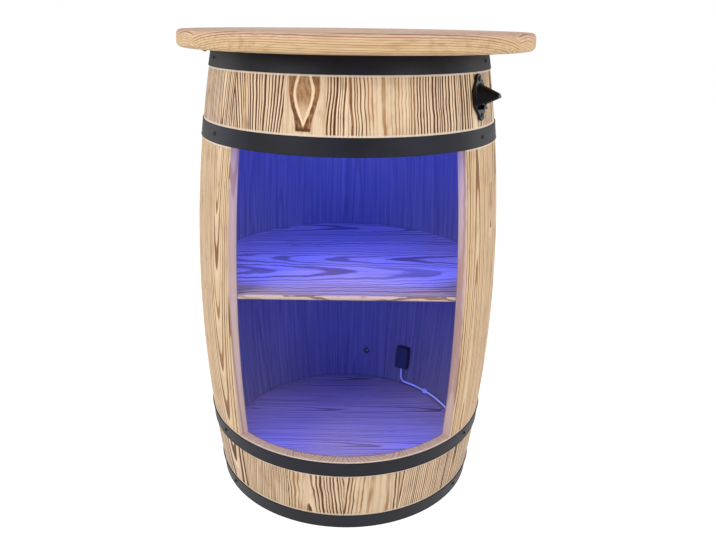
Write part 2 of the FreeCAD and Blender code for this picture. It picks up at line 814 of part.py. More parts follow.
hook_spot = outward(size("hook_azimuth")) * size("hook_reach")
hook_place = Placement(hook_spot + Vector(size("tabletop_shift"), 0, size("barrel_height")), Rotation())
hook_hole = turned(
    "hook_hole",
    [
        ("0", "-hook_collar"),
        ("hook_wire + fit_gap", "-hook_collar"),
        ("hook_wire + fit_gap", "hook_bite + fit_gap"),
        ("0", "hook_bite + fit_gap"),
    ],
)
top_drill = [(screw_hole, place) for place in batten_screw_frames] + [(hook_hole, hook_place)]
top_labels = [f"tabletop_board_{number + 1}" for number in range(int(size("tabletop_boards")))]
top_pieces = boards_of(
    top,
    top_labels,
    "-tabletop_radius",
    "2*tabletop_radius",
    "barrel_height",
    "tabletop_thickness",
    "tabletop_radius",
    "tabletop_shift",
)
for number, (label, piece) in enumerate(top_pieces.items()):
    front_edge = size(f"-tabletop_radius + {number}*board_width")
    back_edge = size(f"-tabletop_radius + {number + 1}*board_width")
    reached = [(tool, place) for tool, place in top_drill if front_edge < place.Base.y < back_edge]
    named(drilled(label, piece, reached), label)

batten = doc.addObject("PartDesign::Body", "batten")
batten_profile = sketch_on(batten, "batten_profile", "YZ_Plane")
polygon(
    batten_profile,
    [
        ("-batten_length/2 + batten_bevel", "batten_underside"),
        ("batten_length/2 - batten_bevel", "batten_underside"),
        ("batten_length/2", "batten_underside + batten_bevel"),
        ("batten_length/2", "barrel_height"),
        ("-batten_length/2", "barrel_height"),
        ("-batten_length/2", "batten_underside + batten_bevel"),
    ],
)
padded(batten, batten_profile, "batten_bar", "batten_width", midplane=True)
for label, side in (("tabletop_batten_left", -1), ("tabletop_batten_right", 1)):
    middle = side * size("batten_spacing/2")
    blank = group(label + "_blank", [(batten, Placement(Vector(middle, 0, 0), Rotation()))])
    through = [p for p in batten_screw_frames + head_screw_frames if p.Base.x * side > 0]
    named(drilled(label, blank, [(screw_hole, place) for place in through]), label)

wood_screw_frames = batten_screw_frames + head_screw_frames + every_cleat_frame
named(group("wood_screws", [(screw, place) for place in wood_screw_frames]), "wood_screws")

hook = doc.addObject("PartDesign::Body", "hook")
hook_path = sketch_on(hook, "hook_path")
bend, drop, bite = size("hook_bend"), size("hook_drop"), size("hook_bite")
hook_path.addGeometry(Part.LineSegment(Vector(0, bite, 0), Vector(0, -drop, 0)), False)
hook_circle = Part.Circle(Vector(bend, -drop, 0), Vector(0, 0, 1), bend)
hook_path.addGeometry(Part.ArcOfCircle(hook_circle, math.pi, 2.15 * math.pi), False)
hook_path.addConstraint(Sketcher.Constraint("Tangent", 0, 2, 1, 1))
hook_path.addConstraint(Sketcher.Constraint("PointOnObject", 0, 1, -2))
hook_path.addConstraint(Sketcher.Constraint("Vertical", 0))
fix(hook_path, "DistanceY", -1, 1, 0, 1, "hook_bite")
fix(hook_path, "DistanceY", -1, 1, 0, 2, "-hook_drop")
fix(hook_path, "Radius", 1, "hook_bend")
fix(hook_path, "DistanceY", -1, 1, 1, 2, "-hook_drop + 0.45*hook_bend")
hook_section = sketch_on(hook, "hook_section", "XY_Plane", lift=bite)
circle_at(hook_section, "0", "0", "hook_wire")
hook_sweep = hook.newObject("PartDesign::AdditivePipe", "hook_sweep")
hook_sweep.Profile = hook_section
hook_sweep.Spine = (hook_path, ["Edge1", "Edge2"])
doc.recompute()
hook_collar = sketch_on(hook, "hook_collar", "XY_Plane", lift=-size("seat_gap + hook_wire"))
circle_at(hook_collar, "0", "0", "hook_collar")
padded(hook, hook_collar, "hook_collar_pad", "hook_wire")
hook.Placement = hook_place
named(hook, "towel_hook")

# ---------------------------------------------------------------- bottle opener


def arch(drawing, radius, middle, foot):
    """Outline with a half-round top, straight sides and a level foot."""
    r, up, down = size(radius), size(middle), size(foot)
    whole = Part.Circle(Vector(0, up, 0), Vector(0, 0, 1), r)
    drawing.addGeometry(Part.ArcOfCircle(whole, 0, math.pi), False)
    for start, end in (((r, down), (r, up)), ((-r, down), (r, down)), ((-r, up), (-r, down))):
        drawing.addGeometry(Part.LineSegment(Vector(*start, 0), Vector(*end, 0)), False)
    for rule in (
        ("Tangent", 0, 1, 1, 2),
        ("Tangent", 0, 2, 3, 1),
        ("Coincident", 2, 2, 1, 1),
        ("Coincident", 3, 2, 2, 1),
        ("Vertical", 1),
        ("Vertical", 3),
        ("Horizontal", 2),
        ("PointOnObject", 0, 3, -2),
    ):
        drawing.addConstraint(Sketcher.Constraint(*rule))
    fix(drawing, "Radius", 0, radius)
    fix(drawing, "DistanceY", -1, 1, 0, 3, middle)
    fix(drawing, "DistanceY", -1, 1, 2, 1, foot)


def lofted(body, kind, name, sections):
    """Loft between two arches at two heights above the plate's back."""
    drawings = []
    for number, (lift, radius, middle, foot) in enumerate(sections, 1):
        drawing = sketch_on(body, f"{name}_section_{number}", "XY_Plane", lift=size(lift))
        arch(drawing, radius, middle, foot)
        drawings.append(drawing)
    loft = body.newObject(f"PartDesign::{kind}", name)
    loft.Profile = drawings[0]
    loft.Sections = drawings[1:]
    doc.recompute()
    return loft


opener = doc.addObject("PartDesign::Body", "opener")
opener_plate = sketch_on(opener, "opener_plate_outline", "XY_Plane")
polygon(
    opener_plate,
    [
        ("-opener_lug_radius", "opener_lug_rise"),
        ("-opener_width/2", "opener_width*0.25"),
        ("-opener_width/2", "-opener_width*0.3"),
        ("-opener_point_radius", "-opener_point_drop"),
        ("opener_point_radius", "-opener_point_drop"),
        ("opener_width/2", "-opener_width*0.3"),
        ("opener_width/2", "opener_width*0.25"),
        ("opener_lug_radius", "opener_lug_rise"),
    ],
)
padded(opener, opener_plate, "opener_plate", "opener_plate")
for end, rise, radius in (
    ("lug", "opener_lug_rise", "opener_lug_radius"),
    ("point", "-opener_point_drop", "opener_point_radius"),
):
    outline = sketch_on(opener, f"opener_{end}_outline", "XY_Plane")
    circle_at(outline, "0", rise, radius)
    padded(opener, outline, f"opener_{end}", "opener_plate")
lofted(
    opener,
    "AdditiveLoft",
    "opener_hood",
    [
        ("opener_plate/2", "opener_hood_radius", "opener_hood_radius/4", "-opener_hood_radius*0.85"),
        ("opener_reach", "opener_tip_radius", "-opener_tip_radius*0.6", "-opener_tip_radius*0.9"),
    ],
)
lofted(
    opener,
    "SubtractiveLoft",
    "opener_mouth",
    [
        ("opener_plate", "opener_hood_radius - opener_wall", "opener_hood_radius/4", "-opener_width"),
        (
            "opener_reach - opener_wall",
            "opener_tip_radius - opener_wall/2",
            "-opener_tip_radius*0.6 - opener_wall",
            "-opener_width",
        ),
    ],
)
tooth = sketch_on(opener, "opener_tooth_outline", "XY_Plane", lift=size("opener_plate/2"))
polygon(
    tooth,
    [
        ("-opener_tooth", "-opener_hood_radius*1.2"),
        ("opener_tooth", "-opener_hood_radius*1.2"),
        ("opener_tooth/2", "-opener_hood_radius*0.8"),
        ("-opener_tooth/2", "-opener_hood_radius*0.8"),
    ],
)
padded(opener, tooth, "opener_tooth", "opener_plate/2 + opener_tooth")
opener.Placement = opener_frame
opener_drill = [(opener_screw_hole, place) for place in opener_screw_frames]
named(drilled("bottle_opener", opener, opener_drill), "bottle_opener")
named(group("opener_screws", [(opener_screw, place) for place in opener_screw_frames]), "opener_screws")

# ---------------------------------------------------------------- lighting

strip_end = "(strip_high - connector_size/2 - 3*seat_gap)"
strip_arc = "bulge_radius - stave_thickness - seat_gap"
for label, side in (("led_strip_left", -1), ("led_strip_right", 1)):
    strip = doc.addObject("PartDesign::Body", label + "_tape")
    drawing = sketch_on(strip, label + "_section")
    bowed_outline(drawing, strip_arc, "strip_thickness", "strip_low", strip_end)
    padded(strip, drawing, label + "_length", "strip_width", midplane=True)
    strip.Placement = facing(side * size("strip_azimuth"))
    named(strip, label)

top_strip = doc.addObject("PartDesign::Body", "led_strip_top_tape")
top_section = sketch_on(top_strip, "led_strip_top_section")
strip_under, strip_over = "(strip_high - strip_width/2)", "(strip_high + strip_width/2)"
polygon(
    top_section,
    [
        (f"{inside(strip_under)} - seat_gap - strip_thickness", strip_under),
        (f"{inside(strip_under)} - seat_gap", strip_under),
        (f"{inside(strip_over)} - seat_gap", strip_over),
        (f"{inside(strip_over)} - seat_gap - strip_thickness", strip_over),
    ],
)
connector_half = f"((connector_size/2 + 2*seat_gap) / {inside('strip_high')} * 180 / pi)"
top_reach = f"2*(strip_azimuth - {connector_half})"
turn_about_axis(top_strip, "Revolution", "led_strip_top_length", top_section, top_reach, midplane=True)
top_strip.Placement = facing(0)
named(top_strip, "led_strip_top")

chip = box(
    "chip", ("-chip_size/2", "-chip_size/2", "0"), ("chip_size", "chip_size", "chip_height")
)
chip_lift = size("seat_gap + strip_thickness + fit_gap")
pitch = size("chip_pitch")
strip_azimuth = size("strip_azimuth")
upright_run = size(f"{strip_end} - strip_low")
level_run = math.radians(size(top_reach)) * size(inside("strip_high"))
chip_frames = []
for number in range(int(upright_run // pitch)):
    height = size("strip_low") + (number + 0.5) * pitch
    chip_frames += [in_staves(side * strip_azimuth, height, chip_lift) for side in (-1, 1)]
level_count = int(level_run // pitch)
for number in range(level_count):
    along = (number + 0.5) / level_count - 0.5
    chip_frames.append(in_staves(along * size(top_reach), size("strip_high"), chip_lift))
named(group("led_chips", [(chip, place) for place in chip_frames]), "led_chips")

connector = box(
    "connector",
    ("-connector_size/2", "-connector_size/2", "0"),
    ("connector_size", "connector_size", "connector_thickness"),
)
feed_height = size("strip_low - connector_size/2 - 3*seat_gap")
connector_frames = [
    in_staves(side * strip_azimuth, height, size("seat_gap"))
    for side, height in ((-1, size("strip_high")), (1, size("strip_high")), (1, feed_height))
]
connectors = group("led_corner_connectors", [(connector, place) for place in connector_frames])
named(connectors, "led_corner_connectors")

lead_circle = f"({inside('lead_height')} - lead_clearance)"
controller_azimuth = size("controller_azimuth")
feed_end = size("strip_low - connector_size - 4*seat_gap")
controller_end = size("controller_low + lead_entry")

run = doc.addObject("Part::Torus", "lead_run")
bind(run, "Radius1", lead_circle)
bind(run, "Radius2", "lead_radius")
bind(run, "Angle3", "controller_azimuth - strip_azimuth - 2*lead_bend / " + lead_circle + " * 180 / pi")
first_azimuth = strip_azimuth + math.degrees(size("lead_bend") / size(lead_circle))
last_azimuth = controller_azimuth - math.degrees(size("lead_bend") / size(lead_circle))
run.Placement = Placement(Vector(0, 0, size("lead_height")), Rotation(Vector(0, 0, 1), first_azimuth - 90))
stretches = [run]
for name, bend_azimuth, side, top_height in (
    ("feed", first_azimuth, -1, feed_end),
    ("controller", last_azimuth, 1, controller_end),
):
    along = Vector(0, 0, 1).cross(outward(bend_azimuth)) * side
    corner = doc.addObject("Part::Torus", f"lead_bend_{name}")
    bind(corner, "Radius1", "lead_bend")
    bind(corner, "Radius2", "lead_radius")
    corner.Angle3 = 90
    middle = outward(bend_azimuth) * size(lead_circle) + Vector(0, 0, size("lead_height + lead_bend"))
    turn = Rotation(Vector(0, 0, -1), along, along.cross(Vector(0, 0, 1)), "XYZ")
    corner.Placement = Placement(middle, turn)
    rise = doc.addObject("Part::Cylinder", f"lead_rise_{name}")
    bind(rise, "Radius", "lead_radius")
    rise.Height = top_height - size("lead_height + lead_bend")
    rise.Placement = Placement(middle + along * size("lead_bend"), Rotation())
    stretches += [corner, rise]
lead = doc.addObject("Part::MultiFuse", "lead")
lead.Shapes = stretches
doc.recompute()
named(lead, "led_lead")

controller_middle = size("controller_low + controller_length/2")
controller_frame = in_staves(controller_azimuth, controller_middle, size("controller_lift"))
controller = doc.addObject("PartDesign::Body", "controller")
controller_block = controller.newObject("PartDesign::AdditiveBox", "controller_block")
for property_name, text in (
    ("Length", "controller_width"),
    ("Width", "controller_length"),
    ("Height", "controller_depth"),
    (".Placement.Base.x", "-controller_width/2"),
    (".Placement.Base.y", "-controller_length/2"),
):
    bind(controller_block, property_name, text)
doc.recompute()
controller_edges = controller.newObject("PartDesign::Fillet", "controller_edges")
lid = size("controller_depth")
controller_edges.Base = (
    controller_block,
    edges_where(controller_block, lambda edge: max(end.Z for end in edge.Vertexes) > lid - 0.001),
)
bind(controller_edges, "Radius", "controller_rounding")
doc.recompute()
controller.Placement = controller_frame
socket = doc.addObject("Part::Cylinder", "controller_socket")
bind(socket, "Radius", "socket_radius")
bind(socket, "Height", "2*socket_depth")
socket_bottom = Vector(0, size("controller_length/2 - socket_depth"), lid / 2)
socket_place = Placement(socket_bottom, Rotation(Vector(1, 0, 0), -90))
entry = doc.addObject("Part::Cylinder", "controller_entry")
bind(entry, "Radius", "lead_radius + fit_gap")
entry.Height = size("2*lead_entry + fit_gap")
entry_place = Placement(rise.Placement.Base, Rotation())
entry_place.Base.z = size("controller_low - lead_entry")
controller_drill = [(socket, controller_frame * socket_place), (entry, entry_place)]
named(drilled("led_controller", controller, controller_drill), "led_controller")

clip_low = "(floor_top + seat_gap)"
clip_block = box(
    "clip_block",
    (f"{lead_circle} - lead_radius - clip_wall", "-clip_length/2", clip_low),
    (
        f"{inside('floor_top')} - seat_gap - {lead_circle} + lead_radius + clip_wall",
        "clip_length",
        f"lead_height + lead_radius + clip_wall - {clip_low}",
    ),
)
clip_bore = doc.addObject("Part::Cylinder", "clip_bore")
bind(clip_bore, "Radius", "lead_radius + fit_gap")
bind(clip_bore, "Height", "2*clip_length")
clip_bore.Placement = Placement(
    Vector(size(lead_circle), size("clip_length"), size("lead_height")), Rotation(Vector(1, 0, 0), 90)
)
clip = cut("clip", clip_block, clip_bore)
clip_number = int(size("clip_count"))
clip_step = (last_azimuth - first_azimuth) / clip_number
clip_azimuths = [first_azimuth + clip_step * (number + 0.5) for number in range(clip_number)]
named(group("lead_clips", [(clip, facing(azimuth)) for azimuth in clip_azimuths]), "lead_clips")

grommet = turned(
    "grommet",
    [
        ("grommet_bore", "-stave_thickness - seat_gap"),
        ("grommet_bore + grommet_wall", "-stave_thickness - seat_gap"),
        ("grommet_bore + grommet_wall", "0"),
        ("grommet_flange", "0"),
        ("grommet_flange", "grommet_wall/2"),
        ("grommet_flange - grommet_wall/2", "grommet_wall"),
        ("grommet_bore", "grommet_wall"),
    ],
)
grommet.Placement = grommet_frame
named(grommet, "cable_grommet")

# ---------------------------------------------------------------- checks and export

doc.recompute()
for thing in doc.Objects:
    if {"Invalid", "Error"} & set(thing.State):
        raise RuntimeError(f"{thing.Name} is in state {thing.State}")
os.makedirs("parts", exist_ok=True)
for piece in subparts:
    if piece.Shape.isNull() or not piece.Shape.isValid():
        raise RuntimeError(f"{piece.Label} has no valid shape")
    piece.Shape.exportStep(f"parts/{piece.Label}.step")
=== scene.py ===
"""Barrel bar cabinet: the finish of every surface, the room and the lamps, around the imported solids.

Metres. +Z is up and the origin lies on the floor, on the barrel's axis. The opening faces -Y, and an azimuth is
measured from there towards +X, in degrees where a name doesn't say otherwise. Boards carry their own
coordinates: across the grain, along it, and the depth below the face that shows.
"""

import math

import bmesh
import bpy
import numpy as np
from mathutils import Matrix, Vector


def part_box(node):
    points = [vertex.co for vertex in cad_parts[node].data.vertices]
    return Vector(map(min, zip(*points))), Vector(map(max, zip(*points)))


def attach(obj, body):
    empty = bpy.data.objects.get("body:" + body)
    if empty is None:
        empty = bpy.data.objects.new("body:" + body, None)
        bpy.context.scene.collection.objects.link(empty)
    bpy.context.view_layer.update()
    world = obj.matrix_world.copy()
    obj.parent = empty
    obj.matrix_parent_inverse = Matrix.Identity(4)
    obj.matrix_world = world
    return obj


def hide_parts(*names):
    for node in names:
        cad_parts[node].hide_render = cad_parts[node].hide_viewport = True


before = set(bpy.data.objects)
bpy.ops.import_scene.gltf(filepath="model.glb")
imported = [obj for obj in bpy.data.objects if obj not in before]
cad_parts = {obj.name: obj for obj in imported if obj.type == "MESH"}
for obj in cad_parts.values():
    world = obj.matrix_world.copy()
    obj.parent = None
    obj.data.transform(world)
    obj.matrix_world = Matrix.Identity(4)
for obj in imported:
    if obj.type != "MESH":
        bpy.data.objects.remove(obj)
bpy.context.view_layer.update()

MM = 0.001

# ---------------------------------------------------------------- sizes of the barrel


def heights(node):
    """Lowest and highest point of a node above the floor."""
    low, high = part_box(node)
    return low.z, high.z


BARREL_HEIGHT = heights("stave_01")[1]
MIDDLE = BARREL_HEIGHT / 2
BILGE_RADIUS = 268 * MM  # outside the staves at mid-height
HEAD_RADIUS = 234 * MM  # outside the staves at both ends
STAVE_THICKNESS = 18 * MM
STAVE_ANGLE = math.radians(22.5)
BULGE_DEPTH = BILGE_RADIUS - HEAD_RADIUS
BULGE_RADIUS = (MIDDLE**2 + BULGE_DEPTH**2) / (2 * BULGE_DEPTH)
BULGE_BACK = BULGE_RADIUS - BILGE_RADIUS
SILL = heights("stave_lower_1")[1]
LINTEL = heights("stave_upper_1")[0]
HEAD_MIDDLE = sum(heights("head_board_2")) / 2
FLOOR_MIDDLE = sum(heights("floor_board_2")) / 2
CROZE_HALF = 4.3 * MM
CROZE_DEPTH = 5 * MM
STAVE_EDGE = 1.1 * MM
SEAT_GAP = 0.3 * MM

HOOP_THICKNESS = 1.6 * MM
FRONT_SCREW_AZIMUTHS = {
    "hoop_head": 65.0,
    "hoop_upper_bilge": 56.25,
    "hoop_lower_bilge": 56.25,
    "hoop_foot": 56.25,
}
HOOPS = {node: heights(node) for node in FRONT_SCREW_AZIMUTHS}
REAR_SCREW_AZIMUTH = 123.75
LAP_ANGLE = math.radians(9.0)
JOGGLE_ANGLE = math.radians(1.2)
LAP_GAP = 0.1 * MM
RIVET_SPACING = 20 * MM

STRIP_AZIMUTH = 51.0
STRIP_HIGH = 690 * MM


def bow(height, depth=0.0):
    """Radius of the staves at a height: a circular arc, widest at mid-height, taken a depth further in."""
    return np.sqrt((BULGE_RADIUS - depth) ** 2 - (height - MIDDLE) ** 2) - BULGE_BACK


def around(radius, azimuth, height):
    """Points at a radius and an azimuth in radians: x = r sin a, y = -r cos a."""
    radius, azimuth, height = np.broadcast_arrays(radius, azimuth, height)
    return np.stack([radius * np.sin(azimuth), -radius * np.cos(azimuth), height], axis=-1)


# ---------------------------------------------------------------- meshes


def tube_faces(rows, columns):
    """Quads between neighbouring points of a grid whose last column joins the first."""
    index = np.arange(rows * columns).reshape(rows, columns)
    index = np.hstack([index, index[:, :1]])
    corners = index[:-1, :-1], index[:-1, 1:], index[1:, 1:], index[1:, :-1]
    return np.stack(corners, axis=-1).reshape(-1, 4)


def capped_faces(rows, columns):
    """The same with both ends closed, by quads across a loop whose two halves mirror each other."""
    near = np.arange(columns // 2)
    far = columns - 1 - near
    cap = np.stack([near[:-1], near[1:], far[1:], far[:-1]], axis=-1)
    return np.vstack([tube_faces(rows, columns), cap, cap + (rows - 1) * columns])


def loose_object(name, points, faces, smooth_angle, merge=0.0):
    """A linked mesh object with recalculated normals, smooth except over sharp edges."""
    mesh = bpy.data.meshes.new(name)
    mesh.from_pydata(np.reshape(points, (-1, 3)).tolist(), [], np.asarray(faces).tolist())
    made = bpy.data.objects.new(name, mesh)
    bpy.context.scene.collection.objects.link(made)
    tidy_mesh(mesh, smooth_angle, merge)
    return made


def tidy_mesh(mesh, smooth_angle, merge=0.0):
    """Merge doubles, recalculate which way the faces point and mark the edges that stay sharp."""
    work = bmesh.new()
    work.from_mesh(mesh)
    if merge:
        bmesh.ops.remove_doubles(work, verts=work.verts, dist=merge)
    bmesh.ops.recalc_face_normals(work, faces=work.faces)
    work.to_mesh(mesh)
    work.free()
    mesh.shade_smooth()
    mesh.set_sharp_from_angle(angle=math.radians(smooth_angle))
    mesh.update()


def piece_for(node, name, points, faces, smooth_angle=35.0, merge=0.0):
    """A closed piece that rides on the cabinet and stands for a node."""
    piece = loose_object(name, points, faces, smooth_angle, merge)
    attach(piece, "root")
    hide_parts(node)
    return piece


def corners_of(mesh):
    """All vertices as one array."""
    found = np.empty(len(mesh.vertices) * 3)
    mesh.vertices.foreach_get("co", found)
    return found.reshape(-1, 3)


def triangles_of(mesh):
    """All faces of a triangle mesh as one array."""
    found = np.empty(len(mesh.loops), dtype=np.int32)
    mesh.loops.foreach_get("vertex_index", found)
    return found.reshape(-1, 3)


def softened(node, smooth_angle=35.0):
    """A merged copy of a node's solid with smooth faces."""
    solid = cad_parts[node].data
    points, faces = corners_of(solid), triangles_of(solid)
    return piece_for(node, node + "_piece", points, faces, smooth_angle, merge=0.002 * MM)


def settle(piece):
    """Turn a piece's modifiers into mesh."""
    graph = bpy.context.evaluated_depsgraph_get()
    settled = bpy.data.meshes.new_from_object(piece.evaluated_get(graph), depsgraph=graph)
    piece.modifiers.clear()
    piece.data = settled


def dressed(piece, finish):
    """Put one finish on the whole of a piece."""
    piece.data.materials.clear()
    piece.data.materials.append(finish)


def attribute(mesh, name, values):
    """Store one vector for each vertex."""
    layer = mesh.attributes.new(name, "FLOAT_VECTOR", "POINT")
    layer.data.foreach_set("vector", np.ascontiguousarray(values, dtype=np.float32).ravel())


def as_board(piece, across, along, depth, figure, flame=1.0):
    """Give a piece its grain: board coordinates, and the tree that the board was cut from. The flame is how much
    harder it was burnt at each vertex."""
    mesh = piece.data
    attribute(mesh, "board", np.stack([across, along, depth], axis=-1))
    weight = np.ones((len(mesh.vertices), 3))
    for name in ("pith", "drift", "plain", "knot", "shield"):
        attribute(mesh, name, weight * getattr(figure, name))
    weight[:, 2] = flame
    attribute(mesh, "growth", weight * figure.growth)


class Figure:
    """Where a board lay in its tree, in millimetres: the pith's place beside and below the board and the slope
    between them, the width and sway of the rings, and how dark the torch made them. The lines lean, and fan out
    about a level. A board may have one plain zone almost without lines (middle across, half its width) and one
    knot: its place across and along the board, half its width and half its height. Each figure has its number,
    which makes its noise its own."""

    made = 0

    def __init__(self, beside, below, slope=0.02, ring=3.6, sway=2.0, burn=0.8, lean=0.0, fan=0.0, level=0.0,
                 plain=(-900, 1), knot=(0, -9000, 1, 1)):
        across, along, half_width, half_height = knot
        Figure.made += 1
        # three numbers to a vector, so the figure's number rides with the plain zone
        self.pith = (beside * MM, below * MM, slope)
        self.growth = (ring * MM, sway * MM, burn)
        self.drift = (lean, fan, level * MM)
        self.plain = (plain[0] * MM, plain[1] * MM, Figure.made)
        self.knot = (across * MM, along * MM, half_width * MM)
        self.shield = (half_height * MM, 0.0, 0.0)


# ---------------------------------------------------------------- node expressions


class Signal:
    """A socket's value in an expression: each operator adds the Math node that works it out."""

    def __init__(self, nodes, socket):
        self.nodes = nodes
        self.socket = socket

    def maths(self, operation, *values):
        return self.nodes.node("ShaderNodeMath", {"operation": operation}, dict(enumerate(values)))

    def __add__(self, other):
        return self.maths("ADD", self, other)

    def __radd__(self, other):
        return self.maths("ADD", other, self)

    def __sub__(self, other):
        return self.maths("SUBTRACT", self, other)

    def __rsub__(self, other):
        return self.maths("SUBTRACT", other, self)

    def __mul__(self, other):
        return self.maths("MULTIPLY", self, other)

    def __rmul__(self, other):
        return self.maths("MULTIPLY", other, self)

    def __truediv__(self, other):
        return self.maths("DIVIDE", self, other)

    def __rtruediv__(self, other):
        return self.maths("DIVIDE", other, self)

    def __abs__(self):
        return self.maths("ABSOLUTE", self)

    def power(self, exponent):
        return self.maths("POWER", self, exponent)

    def root(self):
        return self.maths("SQRT", self)

    def exp(self):
        return self.maths("EXPONENT", self)

    def fraction(self):
        return self.maths("FRACT", self)

    def floor(self):
        return self.maths("FLOOR", self)

    def most(self, other):
        return self.maths("MAXIMUM", self, other)

    def rise(self, low, high, start=0.0, end=1.0):
        """Smooth step from start to end while the value goes from low to high."""
        settings = {"interpolation_type": "SMOOTHSTEP"}
        inputs = {"Value": self, "From Min": low, "From Max": high, "To Min": start, "To Max": end}
        return self.nodes.node("ShaderNodeMapRange", settings, inputs)

    def fall(self, low, high):
        """Smooth step from 1 down to 0 while the value goes from low to high."""
        return self.rise(low, high, 1.0, 0.0)


class Nodes:
    """A tree whose nodes are added by expressions."""

    def __init__(self, tree):
        self.tree = tree

    def node(self, kind, settings=None, inputs=None, output=0):
        """One node: its settings first, then the value or link of each input. Sockets go by number or name."""
        made = self.tree.nodes.new(kind)
        for name, value in (settings or {}).items():
            setattr(made, name, value)
        for place, value in (inputs or {}).items():
            self.feed(made.inputs[place], value)
        return Signal(self, made.outputs[output])

    def feed(self, socket, value):
        if isinstance(value, Signal):
            self.tree.links.new(value.socket, socket)
        else:
            socket.default_value = value

    def ray(self, kind):
        """1 for rays of a kind: Camera, Glossy or Transmission."""
        return self.node("ShaderNodeLightPath", output=f"Is {kind} Ray")


class Paint(Nodes):
    """A material whose nodes are added by expressions."""

    def __init__(self, name, **constants):
        self.material = bpy.data.materials.new(name)
        self.material.use_nodes = True
        super().__init__(self.material.node_tree)
        self.surface = self.tree.nodes["Principled BSDF"]
        self.set(**constants)

    def set(self, **inputs):
        """Inputs of the surface: base_color is the socket Base Color, and so on."""
        for name, value in inputs.items():
            self.feed(self.surface.inputs[name.replace("_", " ").title().replace("Ior", "IOR")], value)
        return self.material

    def attribute(self, name):
        """A piece's own vector attribute."""
        return self.node("ShaderNodeAttribute", {"attribute_name": name}, output=1)

    def place(self):
        """Object coordinates, in metres."""
        return self.node("ShaderNodeTexCoord", output=3)

    def split(self, vector):
        """The three numbers of a vector."""
        first = self.node("ShaderNodeSeparateXYZ", None, {0: vector})
        return [Signal(self, socket) for socket in first.socket.node.outputs]

    def scaled(self, vector, factors):
        return self.node("ShaderNodeVectorMath", {"operation": "MULTIPLY"}, {0: vector, 1: factors})

    def moved(self, vector, other):
        return self.node("ShaderNodeVectorMath", {"operation": "ADD"}, {0: vector, 1: other})

    def noise(self, vector, scale=1.0, detail=2.0):
        return self.node("ShaderNodeTexNoise", None, {"Vector": vector, "Scale": scale, "Detail": detail})

    def noise_on_line(self, value, scale, detail):
        inputs = {"W": value, "Scale": scale, "Detail": detail}
        return self.node("ShaderNodeTexNoise", {"noise_dimensions": "1D"}, inputs)

    def chance(self, value):
        """One random number for each whole value."""
        return self.node("ShaderNodeTexWhiteNoise", {"noise_dimensions": "1D"}, {"W": value})

    def blend(self, factor, low, high):
        """Colour that goes from low to high."""
        inputs = {0: factor, 6: low, 7: high}
        return self.node("ShaderNodeMix", {"data_type": "RGBA"}, inputs, output=2)

    def bump(self, height, distance, strength):
        return self.node("ShaderNodeBump", None, {"Height": height, "Distance": distance, "Strength": strength})


def rgb(red, green, blue):
    """Display values from 0 to 255 as a linear colour."""
    channels = np.array([red, green, blue]) / 255
    linear = np.where(channels <= 0.04045, channels / 12.92, ((channels + 0.055) / 1.055) ** 2.4)
    return (*linear.tolist(), 1.0)


# ---------------------------------------------------------------- wood

# noise in waves per metre: across the grain, along it, and into the board
SLOW = (6.0, 5.0, 6.0)
KINK = (16.0, 30.0, 16.0)
QUICK = (90.0, 30.0, 90.0)
FINE = (1100.0, 16.0, 1100.0)
STREAK = (170.0, 5.0, 170.0)
PATCH = (50.0, 26.0, 50.0)
DASH = (340.0, 22.0, 340.0)
MOTTLE = (240.0, 90.0, 240.0)


def rings_of(paint):
    """Growth rings through a board. A ring is a cylinder about the pith, whose axis slopes against the board:
    its radius is the root of (across the pith)^2 + (below it)^2, swayed by slow noise and pushed round a knot."""
    board = paint.attribute("board")
    across, along, depth = paint.split(board)
    pith_across, pith_below, slope = paint.split(paint.attribute("pith"))
    ring, sway, burn = paint.split(paint.attribute("growth"))
    lean, fan, level = paint.split(paint.attribute("drift"))
    plain_across, plain_half, number = paint.split(paint.attribute("plain"))
    knot_across, knot_along, knot_width = paint.split(paint.attribute("knot"))
    knot_height = paint.split(paint.attribute("shield"))[0]
    spot = paint.moved(board, paint.scaled((0.73, 1.37, 0.41), number))

    # the knot is a shield that narrows downwards, and the lines part round it
    beside = across - knot_across
    above = (along - knot_along) / knot_height
    edge = abs(beside) / (knot_width * above.rise(-1.1, 0.2, 0.49, 1.0))
    parting = ((edge * edge + above * above) * -0.5).exp()
    bent = across - beside * parting * 0.5 - (along - level) * (lean + fan * across)

    slow = paint.noise(paint.scaled(spot, SLOW), detail=1.0) - 0.5
    kink = paint.noise(paint.scaled(spot, KINK), detail=1.0) - 0.5
    quick = paint.noise(paint.scaled(spot, QUICK)) - 0.5
    from_pith = bent - pith_across + (slow * 5.0 + kink * 2.0) * sway
    below = pith_below - depth + slope * along
    radius = (from_pith * from_pith + below * below).root() + quick * sway * 0.5
    years = radius / ring
    years = years + paint.noise_on_line(years + number * 5.1, 0.3, 1.0) * 1.3

    # the torch widens the dark lines
    year = years.floor()
    within = years.fraction()
    first = burn.rise(0.7, 1.4, 0.56, 0.34)
    onset = first + 0.24 * paint.chance(year + 0.37)
    from_plain = abs(across - plain_across + kink * 4.0 * sway) - plain_half
    return {
        "along": along,
        "depth": depth,
        "burn": burn,
        "late": within.rise(onset, onset + 0.16) * (1.0 - within.rise(0.90, 1.0)),
        "crest": within.fall(0.04, 0.26),
        "strength": paint.chance(year),
        "plain": from_plain.fall(-1.0 * MM, 2.0 * MM),
        "fine": paint.noise(paint.scaled(spot, FINE)),
        "streak": paint.noise(paint.scaled(spot, STREAK), detail=3.0),
        "patch": paint.noise(paint.scaled(spot, PATCH)),
        "dash": paint.noise(paint.scaled(spot, DASH), detail=1.0),
        "mottle": paint.noise(paint.scaled(spot, MOTTLE), detail=3.0),
        "knot_side": abs(beside) / knot_width,
        "knot_edge": edge,
        "knot_above": above,
        "knot_heart": abs(beside) / (knot_width * 0.62) + abs(above - 0.1).power(1.6),
    }


